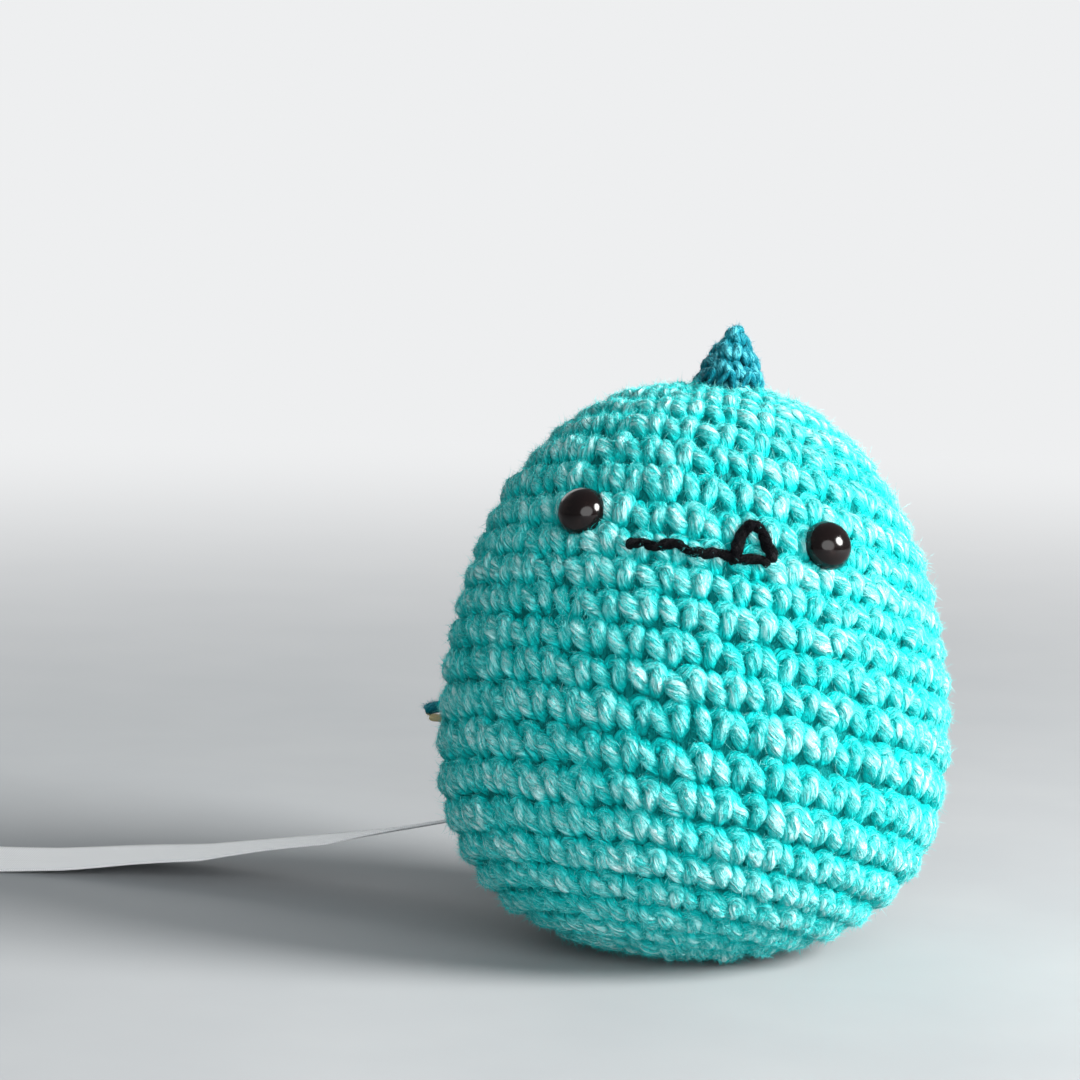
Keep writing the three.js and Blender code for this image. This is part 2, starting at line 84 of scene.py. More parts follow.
# Values at the points of a mesh: place in the yarn's own space, shade, and depth in yarn radii, which
# sets painted shade and painted highlight
YARN_SPACE, TINT, SUNK = "yarn_space", "tint", "sunk"
# Sockets of a Mix node that mixes colours
MIX_SHARE, MIX_FIRST, MIX_SECOND, MIX_RESULT = 0, 6, 7, 2
# Least heights above the floor of a yarn's skin and of a fibre
YARN_FLOOR, FIBRE_FLOOR = 0.02 * MM, 0.05 * MM
# Angles in a table of the body's outline, and halvings that find each distance
OUTLINE_STEPS, HALVINGS = 721, 44

Array = np.ndarray
Paint = Tuple[int, int, int]
Triple = Tuple[float, float, float]


def unit(vectors: Array) -> Array:
    """Scales vectors, whose parts are on the last axis, to length one."""
    return vectors / np.maximum(np.linalg.norm(vectors, axis=-1, keepdims=True), 1e-12)


def walked(path: Array) -> Array:
    """Length of a path from its start to each of its places."""
    return np.concatenate([[0], np.cumsum(np.linalg.norm(np.diff(path, axis=0), axis=-1))])


def every_pair(rows: Array, columns: Array) -> List[Array]:
    """Every pair of a row's and a column's value, row by row."""
    return [pairs.ravel() for pairs in np.meshgrid(rows, columns, indexing="ij")]


def standing(point: Array, out: Array, across: Array) -> Array:
    """Matrix that stands a form on a surface.

    Args:
        point: where its origin goes.
        out: where its Z axis goes.
        across: roughly where its X axis goes.

    Returns:
        The four by four matrix.
    """
    side = unit(across - out * (across @ out))
    matrix = np.eye(4)
    for column, value in enumerate((side, np.cross(out, side), out, point)):
        matrix[:3, column] = value
    return matrix


def linear(colour: Sequence[int]) -> Tuple[float, float, float, float]:
    """Turns a display colour of 0 to 255 into the linear colour, with alpha, that a shader takes."""
    shares = [c / 255 for c in colour]
    return (*[s / 12.92 if s <= 0.04045 else ((s + 0.055) / 1.055) ** 2.4 for s in shares], 1.0)


def _operator(operation: str, swapped: bool = False) -> Callable[["Term", object], "Term"]:
    """Makes an operator of the terms.

    Args:
        operation: of the Math node that it adds.
        swapped: whether the term stands on the right.

    Returns:
        The method.
    """

    def operator(term: "Term", other: object) -> "Term":
        """Result of the new node."""
        values = (other, term) if swapped else (term, other)
        return term.nodes.node("ShaderNodeMath", {"operation": operation}, dict(enumerate(values)))

    return operator


@dataclass(frozen=True)
class Term:
    """A number in a node tree, with the sums that the finishes use.

    Attributes:
        nodes: the tree that it belongs to.
        socket: where it comes out.
    """

    nodes: "Nodes"
    socket: bpy.types.NodeSocket

    __add__, __radd__ = _operator("ADD"), _operator("ADD", swapped=True)
    __sub__, __rsub__ = _operator("SUBTRACT"), _operator("SUBTRACT", swapped=True)
    __mul__, __rmul__ = _operator("MULTIPLY"), _operator("MULTIPLY", swapped=True)
    __pow__ = _operator("POWER")


class Nodes:
    """A node tree that is filled from nothing."""

    def __init__(self, tree: bpy.types.NodeTree, end: str) -> None:
        """Empties the tree and gives it its last node.

        Args:
            tree: the node tree.
            end: type of its output node.
        """
        self.tree = tree
        tree.nodes.clear()
        self.end = tree.nodes.new(end)

    def feed(self, socket: bpy.types.NodeSocket, value: object) -> None:
        """Links or sets one input.

        Args:
            socket: the input.
            value: a Term to link, or a number or colour to set.
        """
        if isinstance(value, Term):
            self.tree.links.new(value.socket, socket)
        else:
            socket.default_value = value

    def node(self, kind: str, settings: Dict[str, object], inputs: Dict[object, object],
             output: object = 0) -> Term:
        """Adds a node, sets it and feeds it.

        Args:
            kind: the node's type.
            settings: its properties.
            inputs: input name or number to a Term, number or colour.
            output: name or number of the output that is wanted.

        Returns:
            That output.
        """
        made = self.tree.nodes.new(kind)
        for name, value in settings.items():
            setattr(made, name, value)
        for name, value in inputs.items():
            self.feed(made.inputs[name], value)
        return Term(self, made.outputs[output])


class Shader(Nodes):
    """Node tree of one material that ends in a Principled shader."""

    def __init__(self, name: str) -> None:
        """Makes the material and its shader.

        Args:
            name: the material's name.
        """
        self.material = bpy.data.materials.new(name)
        self.material.use_nodes = True
        super().__init__(self.material.node_tree, "ShaderNodeOutputMaterial")
        self.surface = self.tree.nodes.new("ShaderNodeBsdfPrincipled")
        self.feed(self.end.inputs[0], Term(self, self.surface.outputs[0]))

    def blend(self, share: object, first: object, second: object) -> Term:
        """Mixes two colours by the second one's share."""
        inputs = {MIX_SHARE: share, MIX_FIRST: first, MIX_SECOND: second}
        return self.node("ShaderNodeMix", {"data_type": "RGBA"}, inputs, MIX_RESULT)

    def attribute(self, name: str, output: str = "Fac") -> Term:
        """Reads a value that a mesh carries at its points."""
        return self.node("ShaderNodeAttribute", {"attribute_name": name}, {}, output)

    def noise(self, place: Term, scale: float, detail: float, roughness: float = 0.5) -> Term:
        """Noise from 0 to 1 at a place, with scale in cells a metre and detail in octaves."""
        inputs = {"Vector": place, "Scale": scale, "Detail": detail, "Roughness": roughness}
        return self.node("ShaderNodeTexNoise", {}, inputs)

    def stretch(self, place: Term, scale: Sequence[float]) -> Term:
        """Multiplies coordinates axis by axis."""
        inputs = {0: place, 1: tuple(scale)}
        return self.node("ShaderNodeVectorMath", {"operation": "MULTIPLY"}, inputs)

    def wander(self, place: Term, scale: float, amount: float) -> Term:
        """Coordinates that stray from place to place.

        Args:
            place: the coordinates.
            scale: noise cells in one unit of them.
            amount: how far they stray at most.

        Returns:
            The new coordinates.
        """
        inputs = {"Vector": place, "Scale": scale, "Detail": 1.0}
        stray = self.node("ShaderNodeTexNoise", {}, inputs, "Color")
        inputs = {0: stray, 1: (amount,) * 3, 2: place}
        return self.node("ShaderNodeVectorMath", {"operation": "MULTIPLY_ADD"}, inputs)

    def ridge(self, value: Term, low: float, high: float) -> Term:
        """Maps a value smoothly from 0 at low to 1 at high."""
        inputs = {"Value": value, "From Min": low, "From Max": high}
        return self.node("ShaderNodeMapRange", {"interpolation_type": "SMOOTHSTEP"}, inputs)

    def limit(self, value: Term) -> Term:
        """Keeps a value between 0 and 1."""
        return self.node("ShaderNodeClamp", {}, {0: value})

    def bump(self, height: Term, distance: float, strength: float) -> None:
        """Raises the surface by a height, of which 1 means the distance in metres."""
        inputs = {"Height": height, "Distance": distance, "Strength": strength}
        self.set({"Normal": self.node("ShaderNodeBump", {}, inputs)})

    def set(self, inputs: Dict[str, object]) -> None:
        """Sets or links the surface's inputs."""
        for name, value in inputs.items():
            self.feed(self.surface.inputs[name], value)


@dataclass(frozen=True)
class YarnFinish:
    """Spun yarn: plies, fine fibres along them and slight changes of shade, with painted highlight on
    the tops of the stitches and painted shade in their hollows and between strands.

    Attributes:
        name: the material's name.
        light: display colour of lighter fibres, laid mostly on the tops of the stitches as painted
            highlight.
        deep: display colour between fibres.
        painted_hollow_shade: display colour of the painted shade in the hollows of the stitches.
        radius: yarn radius in metres.
        roughness: of the fibres.
        gleam: strength of the light that glances off them.
        skew: more than 1 where the deep colour prevails.
        fine_cells: noise cells of single fibres in one radius.
        broad_cells: of strands of them.
        cloud_cells: of changes of shade.
        relief: height of the strands in radii.
    """

    name: str
    light: Paint
    deep: Paint
    painted_hollow_shade: Paint
    radius: float
    roughness: float = 0.5
    gleam: float = 0.1
    skew: float = 2.1
    fine_cells: float = 3.8
    broad_cells: float = 1.8
    cloud_cells: float = 0.5
    relief: float = 0.6

    def material(self) -> bpy.types.Material:
        """Builds the material.

        Returns:
            The material.
        """
        shader = Shader(self.name)
        place = shader.attribute(YARN_SPACE, "Vector")
        per_metre = 1 / self.radius
        bent = shader.wander(place, 0.9 * per_metre, 0.7 * self.radius)
        single, spun = (shader.stretch(bent, (1, 1, length)) for length in (0.25, 0.3))
        fibres = shader.noise(single, self.fine_cells * per_metre, 3.0, 0.65)
        bundles = shader.noise(spun, self.broad_cells * per_metre, 1.0)
        clouds = shader.noise(place, self.cloud_cells * per_metre, 1.0)
        fine, broad = shader.ridge(fibres, 0.38, 0.64), shader.ridge(bundles, 0.4, 0.6)
        patches = (clouds - 0.5) * 0.6 + (shader.attribute(TINT) - 0.5) * 0.3
        shade = fine * 0.36 + broad * 0.56 + 0.07 + patches
        sunk = shader.attribute(SUNK)
        # Painted shade where the yarn lies deep in the hollows, painted highlight where it lies
        # outermost
        painted_highlight, hollow = shader.ridge(sunk, 0.85, -0.2), shader.ridge(sunk, 0.4, 2.4)
        # The light colour goes mostly to the tops of the stitches: painted highlight
        share = (shader.limit(shade) * 0.72 + 0.28) ** self.skew * (painted_highlight ** 1.7)
        colour = shader.blend(share, linear(self.deep), linear(self.light))
        # Painted shade in the grooves between fibres and strands
        between = (1 - fine) * (1 - broad) * 0.5
        shader.set({
            "Base Color": shader.blend(shader.limit(hollow + between), colour, linear(self.painted_hollow_shade)),
            "Roughness": fine * 0.1 + self.roughness,
            "Specular IOR Level": self.gleam,
        })
        shader.bump(fine * 0.45 + broad * 0.55, self.relief * self.radius, 1.0)
        return shader.material


@dataclass(frozen=True)
class FibreFinish:
    """Single loose fibres, or a loft of them.

    Attributes:
        name: the material's name.
        light: display colour.
        deep: display colour of the darker ones.
    """

    name: str
    light: Paint
    deep: Paint

    def material(self) -> bpy.types.Material:
        """Builds the material.

        Returns:
            The material.
        """
        shader = Shader(self.name)
        colour = shader.blend(shader.attribute(TINT) ** 3.0, linear(self.deep), linear(self.light))
        shader.set({"Base Color": colour, "Roughness": 0.6, "Specular IOR Level": 0.0})
        return shader.material


@dataclass(frozen=True)
class PlasticFinish:
    """Moulded plastic with faint flow marks and handling haze.

    Attributes:
        name: the material's name.
        colour: display colour.
        haze: display colour where it is a little dusty or worn.
        roughness: of the polished surface.
        haze_roughness: of the hazed patches.
        coat: clear skin's weight.
        gleam: strength of what it reflects.
    """

    name: str
    colour: Paint
    haze: Paint
    roughness: float
    haze_roughness: float
    coat: float
    gleam: float = 0.5

    def material(self) -> bpy.types.Material:
        """Builds the material.

        Returns:
            The material.
        """
        shader = Shader(self.name)
        place = shader.node("ShaderNodeTexCoord", {}, {}, "Object")
        patches = shader.ridge(shader.noise(place, 420.0, 3.0), 0.52, 0.78)
        shader.set({
            "Base Color": shader.blend(patches * 0.5, linear(self.colour), linear(self.haze)),
            "Roughness": patches * (self.haze_roughness - self.roughness) + self.roughness,
            "Coat Weight": self.coat,
            "Coat Roughness": 0.02,
            "Specular IOR Level": self.gleam,
        })
        shader.bump(shader.noise(place, 620.0, 2.0), 0.03 * MM, 0.35)
        return shader.material


@dataclass(frozen=True)
class SatinFinish:
    """Woven label satin: fine warp lines along the ribbon and firmer edges.

    Attributes:
        name: the material's name.
        thread: display colour on top of the weave.
        gap: display colour between its threads, painted shade in the low places of the weave.
        warp_per_metre: warp threads across one metre.
        weft_per_metre: weft threads along one metre.
    """

    name: str
    thread: Paint
    gap: Paint
    warp_per_metre: float = 3600.0
    weft_per_metre: float = 2400.0

    def material(self) -> bpy.types.Material:
        """Builds the material.

        Returns:
            The material.
        """
        shader = Shader(self.name)
        place = shader.attribute(YARN_SPACE, "Vector")
        across, along = (shader.node("ShaderNodeSeparateXYZ", {}, {0: place}, axis)
                         for axis in (0, 1))
        warp = self._wave(shader, across * (self.warp_per_metre * TURN))
        weft = self._wave(shader, along * (self.weft_per_metre * TURN))
        slubs = shader.noise(shader.stretch(place, (1, 0.06, 1)), 1500.0, 2.0)
        # Low places of the weave take the gap colour as painted shade
        height = warp * 0.5 + weft * 0.2 + slubs * 0.3
        shader.set({
            "Base Color": shader.blend(height, linear(self.gap), linear(self.thread)),
            "Roughness": 0.5,
            "Sheen Weight": 0.25,
        })
        shader.bump(height, 0.03 * MM, 0.6)
        return shader.material

    @staticmethod
    def _wave(shader: Shader, phase: Term) -> Term:
        """A wave of the phase, from 0 to 1."""
        sine = shader.node("ShaderNodeMath", {"operation": "SINE"}, {0: phase})
        return sine * 0.5 + 0.5


# Yarn colours: light fibres (mostly painted highlight on the stitch tops), deep, and painted shade for
# the hollows
AQUA = YarnFinish("aqua_yarn", (216, 255, 255), (0, 210, 209), (0, 128, 127), 1.3 * MM)
AQUA_FUZZ = FibreFinish("aqua_fuzz", (160, 252, 251), (0, 206, 205))
TEAL = YarnFinish("teal_yarn", (118, 236, 250), (0, 132, 150), (0, 54, 64), 0.7 * MM)
TEAL_FUZZ = FibreFinish("teal_fuzz", (112, 220, 236), (0, 126, 144))
BLACK = YarnFinish("black_yarn", (28, 26, 31), (3, 3, 4), (2, 2, 3), 0.86 * MM, gleam=0.14)
BLACK_FUZZ = FibreFinish("black_fuzz", (32, 31, 37), (5, 5, 7))
CREAM = YarnFinish("cream_thread", (252, 246, 218), (232, 216, 168), (196, 178, 128), 0.5 * MM)
CREAM_FUZZ = FibreFinish("cream_fuzz", (250, 242, 206), (220, 204, 150))
FILLING = YarnFinish("fibre_filling", (246, 246, 242), (206, 206, 200), (190, 190, 184), 2 * MM)
THREAD = YarnFinish("label_thread", (246, 246, 244), (200, 200, 198), (180, 180, 178), 0.25 * MM)
EYE_BLACK = PlasticFinish("eye_plastic", (14, 8, 8), (44, 30, 27), 0.13, 0.28, 0.0, 0.28)
WASHER_CLEAR = PlasticFinish("washer_plastic", (222, 222, 216), (190, 190, 182), 0.35, 0.5, 0.2)
SATIN = SatinFinish("label_satin", (242, 242, 242), (196, 198, 202))
BACKDROP, SKY, FLOOR = (238, 239, 240), (222, 230, 234), ((150, 153, 156), (162, 164, 166))


@dataclass
class Shape:
    """A mesh in the making.

    Attributes:
        points: places in metres, one row each.
        quads: four-sided faces.
        tris: three-sided faces.
        quad_uv: bake-map place of each corner of the quads.
        tri_uv: the same for the triangles.
        values: number or vector per point, by name.
    """

    points: Array
    quads: Array
    tris: Array = field(default_factory=lambda: np.zeros((0, 3), int))
    quad_uv: Optional[Array] = None
    tri_uv: Optional[Array] = None
    values: Dict[str, Array] = field(default_factory=dict)

    def join(self, other: "Shape") -> "Shape":
        """Puts two shapes together, each on its own half of the bake map.

        Args:
            other: the shape on the right half.

        Returns:
            Both as one.
        """
        shift, half, right = len(self.points), (0.5, 1.0), (0.5, 0.0)
        quads, tris = (np.concatenate([a, b + shift])
                       for a, b in ((self.quads, other.quads), (self.tris, other.tris)))
        quad_uv, tri_uv = (np.concatenate([a * half, b * half + right])
                           for a, b in ((self.quad_uv, other.quad_uv), (self.tri_uv, other.tri_uv)))
        values = {key: np.concatenate([mine, other.values[key]]) for key, mine in self.values.items()}
        points = np.concatenate([self.points, other.points])
        return Shape(points, quads, tris, quad_uv, tri_uv, values)

    def mesh(self, name: str) -> bpy.types.Mesh:
        """Makes the mesh.

        Args:
            name: its name.

        Returns:
            The mesh, smooth, with its bake map and its values.
        """
        mesh = bpy.data.meshes.new(name)
        corners = np.concatenate([self.quads.ravel(), self.tris.ravel()]).astype(np.int32)
        counts = np.repeat([4, 3], [len(self.quads), len(self.tris)])
        starts = np.concatenate([[0], np.cumsum(counts)[:-1]])
        mesh.vertices.add(len(self.points))
        mesh.vertices.foreach_set("co", self.points.astype(np.float32).ravel())
        mesh.loops.add(len(corners))
        mesh.loops.foreach_set("vertex_index", corners)
        mesh.polygons.add(len(counts))
        mesh.polygons.foreach_set("loop_start", starts.astype(np.int32))
        mesh.polygons.foreach_set("loop_total", counts.astype(np.int32))
        mesh.polygons.foreach_set("use_smooth", np.full(len(counts), True))
        mesh.update(calc_edges=True)
        if self.quad_uv is not None:
            spare = np.zeros((self.tris.size, 2)) if self.tri_uv is None else self.tri_uv
            flat = np.concatenate([self.quad_uv.reshape(-1, 2), spare.reshape(-1, 2)])
            layer = mesh.uv_layers.new(name=UV_NAME)
            layer.data.foreach_set("uv", flat.astype(np.float32).ravel())
        for key, value in self.values.items():
            kind, slot = ("FLOAT_VECTOR", "vector") if value.ndim == 2 else ("FLOAT", "value")
            made = mesh.attributes.new(key, kind, "POINT")
            made.data.foreach_set(slot, value.astype(np.float32).ravel())
        return mesh

    def piece(self, name: str, finish: bpy.types.Material, slot: str, *nodes: str,
              body: Optional[str] = TOY) -> bpy.types.Object:
        """Makes the piece, gives it its finish, ties it to its body and hides the nodes that it stands
        for.

        Args:
            name: the piece's name.
            finish: its material.
            slot: the record's material slot; not used.
            nodes: nodes that it replaces.
            body: the body that it moves with, or None to leave it on no body.

        Returns:
            The object, linked to the scene.
        """
        piece = bpy.data.objects.new(name, self.mesh(name))
        piece.data.materials.append(finish)
        bpy.context.scene.collection.objects.link(piece)
        if body:
            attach(piece, body)
        if nodes:
            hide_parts(*nodes)
        log.info("%s: %d faces", name, len(piece.data.polygons))
        return piece


@dataclass(frozen=True)
class EggForm:
    """The stuffed body's outer form: an upright egg whose rounds sit leaning and tilted back.

    Attributes:
        radius: at the widest, in metres.
        height: from the floor to the crown.
        widest: height of the widest place.
        sink: how far the uncut form would reach below the floor.
        centre: height of the point that directions are counted from.
        lean: how far the rounds lean towards +X, in radians.
        tilt: how far they are tilted back, in radians.
        turn: how far the face is turned from the camera's side, in radians.
        crown: power and root of the profile above the widest place.
        seat: power and root of the profile below it.
    """

    radius: float
    height: float
    widest: float = 34 * MM
    sink: float = 0.5 * MM
    centre: float = 45 * MM
    lean: float = math.radians(6.5)
    tilt: float = math.radians(15)
    turn: float = math.radians(-6.1)
    crown: Tuple[float, float] = (2.0, 0.42)
    seat: Tuple[float, float] = (2.4, 0.38)

    def half_width(self, level: Array) -> Array:
        """Radius of the body.

        Args:
            level: heights above the floor.

        Returns:
            The radius at each.
        """
        up = np.clip((level - self.widest) / (self.height - self.widest), 0, 1)
        down = np.clip((self.widest - level) / (self.widest + self.sink), 0, 1)
        top = (1 - up ** self.crown[0]) ** self.crown[1]
        low = (1 - down ** self.seat[0]) ** self.seat[1]
        return self.radius * np.where(level >= self.widest, top, low)

    @lru_cache(maxsize=None)
    def reach_table(self, count: int = OUTLINE_STEPS) -> Tuple[Array, Array]:
        """Distance from the centre to the surface over the angle from straight up.

        Args:
            count: angles in the table.

        Returns:
            The angles and the distances.
        """
        angles = np.linspace(0, math.pi, count)
        near, far = np.zeros(count), np.full(count, self.radius + self.height)
        for _ in range(HALVINGS):
            middle = (near + far) / 2
            level = self.centre + middle * np.cos(angles)
            inside = (level < self.height) & (level > -self.sink)
            inside &= middle * np.sin(angles) < self.half_width(level)
            near, far = np.where(inside, middle, near), np.where(inside, far, middle)
        return angles, near

    def direction(self, polar: Array, azimuth: Array) -> Array:
        """Directions in the room of places on the toy.

        Args:
            polar: angle from the crown of its rounds, in radians.
            azimuth: angle from the camera's side towards +X.

        Returns:
            Unit vectors from the body's centre.
        """
        x = np.sin(polar) * np.sin(azimuth)
        y = -np.sin(polar) * np.cos(azimuth)
        z = np.cos(polar) + 0 * azimuth
        c, s = math.cos(self.tilt), math.sin(self.tilt)
        y, z = y * c + z * s, z * c - y * s
        c, s = math.cos(self.lean), math.sin(self.lean)
        return np.stack([x * c + z * s, y, z * c - x * s], -1)

    def place(self, polar: Array, azimuth: Array, depth: Array) -> Tuple[Array, Array]:
        """Points and outward directions at angles of the toy, as direction and along take them."""
        return self.along(self.direction(polar, azimuth), depth)

    def along(self, way: Array, depth: Array) -> Tuple[Array, Array]:
        """Points on or under the surface in given directions from the centre.

        Args:
            way: unit vectors.
            depth: how far under the surface, in metres.

        Returns:
            The points and the outward directions there.
        """
        angles, reaches = self.reach_table()
        tilt = np.arccos(np.clip(way[..., 2], -1, 1))
        reach = np.interp(tilt, angles, reaches)
        slope = np.interp(tilt, angles, np.gradient(reaches, angles)) / reach
        flat = unit(way * (1, 1, 0))
        down = np.stack([flat[..., 0] * way[..., 2], flat[..., 1] * way[..., 2], -np.sin(tilt)], -1)
        outward = unit(way - slope[..., None] * down)
        points = way * reach[..., None] - outward * np.asarray(depth)[..., None]
        points[..., 2] += self.centre
        return points, outward


class Fabric:
    """A surface that rounds of crochet cover, counted in rounds from its start.

    Attributes:
        stitches: stitches in each round, from the start.
    """

    stitches: Tuple[int, ...]

    def place(self, rounds: Array, turns: Array, depth: Array) -> Tuple[Array, Array]:
        """Points and outward directions there, which each kind of fabric works out for itself."""
        raise NotImplementedError


@dataclass
class BodyFabric(Fabric):
    """Rounds of the body, from the ring under its base to the closing at its crown.

    Attributes:
        form: the egg.
        heights: each round's height along the surface, from the base up.
        closing: height of the gathered hole above the last round.
        stitches: stitches in each round, from the base up.
    """

    form: EggForm
    heights: Tuple[float, ...] = (
        5.5, 5.5, 5.5, 5.5, 5.5, 5.6, 5.7, 5.9, 6.1, 6.5, 6.2, 5.6, 5.5,
        5.2, 4.9, 5.2, 5.6, 6.3, 6.2, 5.8, 5.8, 5.3, 5.3, 5.6, 5.8)
    closing: float = 3.2
    stitches: Tuple[int, ...] = (
        (6, 12, 18, 24, 30, 36) + (40,) * 11 + (38, 36, 32, 28, 24, 18, 12, 6))

    def __post_init__(self) -> None:
        """Measures the surface from the base to the crown down the toy's front."""
        self.polars = np.linspace(math.pi, 0, OUTLINE_STEPS)
        zeros = np.zeros(OUTLINE_STEPS)
        self.lengths = walked(self.form.place(self.polars, zeros, zeros)[0])
        ends = np.concatenate([[0], np.cumsum(self.heights)])
        self.ends = ends * self.lengths[-1] / (ends[-1] + self.closing)

    def place(self, rounds: Array, turns: Array, depth: Array) -> Tuple[Array, Array]:
        """Points and outward directions.

        Args:
            rounds: position in rounds from the start.
            turns: angle round the fabric, in radians.
            depth: how far under the outer surface, in metres.

        Returns:
            The points and the outward directions.
        """
        count = len(self.stitches)
        level = np.interp(rounds, np.arange(count + 1), self.ends)
        over = np.clip(rounds - count, 0, 1) * (self.ends[-1] - self.ends[-2]) * 0.8
        polar = np.interp(level + over, self.lengths, self.polars)
        return self.form.place(polar, turns, depth)


@dataclass
class SpikeFabric(Fabric):
    """Rounds of a small blunt cone, from its foot on the cover to its tip.

    Attributes:
        frame: places the cone, whose own Z axis points out of the body.
        radius: at the foot.
        height: from the foot to the tip.
        stitches: stitches in each round.
        power: how bluntly it rounds off.
        foot: how far the first round reaches into the cover.
    """

    frame: Array
    radius: float
    height: float
    stitches: Tuple[int, ...]
    power: float = 0.4
    foot: float = 1.6 * MM

    def __post_init__(self) -> None:
        """Measures the profile from the foot to the tip."""
        share = 1 - np.linspace(1, 0, 161) ** 2
        self.levels = np.concatenate([[-self.foot], self.height * share])
        self.radii = self.radius * np.concatenate([[1.0], (1 - share) ** self.power])
        steps = np.hypot(np.diff(self.levels), np.diff(self.radii))
        self.lengths = np.concatenate([[0], np.cumsum(steps)])

    def place(self, rounds: Array, turns: Array, depth: Array) -> Tuple[Array, Array]:
        """Points and outward directions.

        Args:
            rounds: position in rounds from the start.
            turns: angle round the fabric, in radians.
            depth: how far under the outer surface, in metres.

        Returns:
            The points and the outward directions.
        """
        length = rounds / len(self.stitches) * self.lengths[-1]
        radius, level = (np.interp(length, self.lengths, x) for x in (self.radii, self.levels))
        rise = np.interp(length, self.lengths, np.gradient(self.levels, self.lengths))
        fall = -np.interp(length, self.lengths, np.gradient(self.radii, self.lengths))
        scale = np.hypot(rise, fall)
        rise, fall = rise / scale, fall / scale
        inner = np.maximum(radius - rise * depth, radius * 0.12)
        across, along = np.cos(turns), np.sin(turns)
        own = np.stack([across * inner, along * inner, level - fall * depth], -1)
        own_out = np.stack([across * rise, along * rise, fall], -1)
        turn, shift = self.frame[:3, :3], self.frame[:3, 3]
        return own @ turn.T + shift, own_out @ turn.T


# Path of the yarn through one single crochet stitch: share of the stitch to the right,
# share of the round up, depth in yarn radii, fullness of the yarn, and steps to the next place
STITCH = np.array([
    (-0.64, 0.20, 3.40, 0.80, 1),
    (-0.55, 0.37, 2.20, 0.90, 2),
    (-0.46, 0.33, 1.30, 1.04, 4),
    (-0.37, 0.18, 1.00, 1.24, 4),
    (-0.26, 0.00, 0.95, 1.30, 4),
    (-0.15, -0.18, 1.20, 1.20, 3),
    (-0.06, -0.34, 1.85, 1.00, 2),
    (0.01, -0.48, 3.00, 0.80, 1),
    (0.14, -0.54, 3.40, 0.80, 1),
    (0.21, -0.44, 2.30, 0.90, 2),
    (0.23, -0.28, 1.55, 1.08, 3),
    (0.25, -0.06, 1.05, 1.26, 4),
    (0.27, 0.14, 0.95, 1.28, 4),
    (0.25, 0.32, 1.05, 1.10, 4),
    (0.15, 0.42, 1.20, 1.02, 4),
    (0.01, 0.42, 1.25, 1.00, 3),
    (-0.10, 0.32, 1.45, 0.98, 3),
    (-0.15, 0.16, 2.20, 0.88, 1),
    (-0.06, 0.04, 3.60, 0.80, 1),
])
RINGS = STITCH[:, 4].astype(int)


@dataclass(frozen=True)
class Tension:
    """How evenly the yarn was worked.

    Attributes:
        sideways: share of a stitch that a stitch strays along its round.
        upward: share of a round that it strays across it.
        depth: yarn radii that it strays in depth.
        fullness: share by which the yarn swells or thins.
        lean: radians by which a stitch turns.
        size: share by which it is larger or smaller.
        jitter: shares of a stitch that each of its places strays by itself, across and in depth.
        slub: share by which the yarn swells or thins from place to place.
    """

    sideways: float = 0.035
    upward: float = 0.04
    depth: float = 0.16
    fullness: float = 0.08
    lean: float = 0.12
    size: float = 0.04
    jitter: Tuple[float, float] = (0.012, 0.04)
    slub: float = 0.03


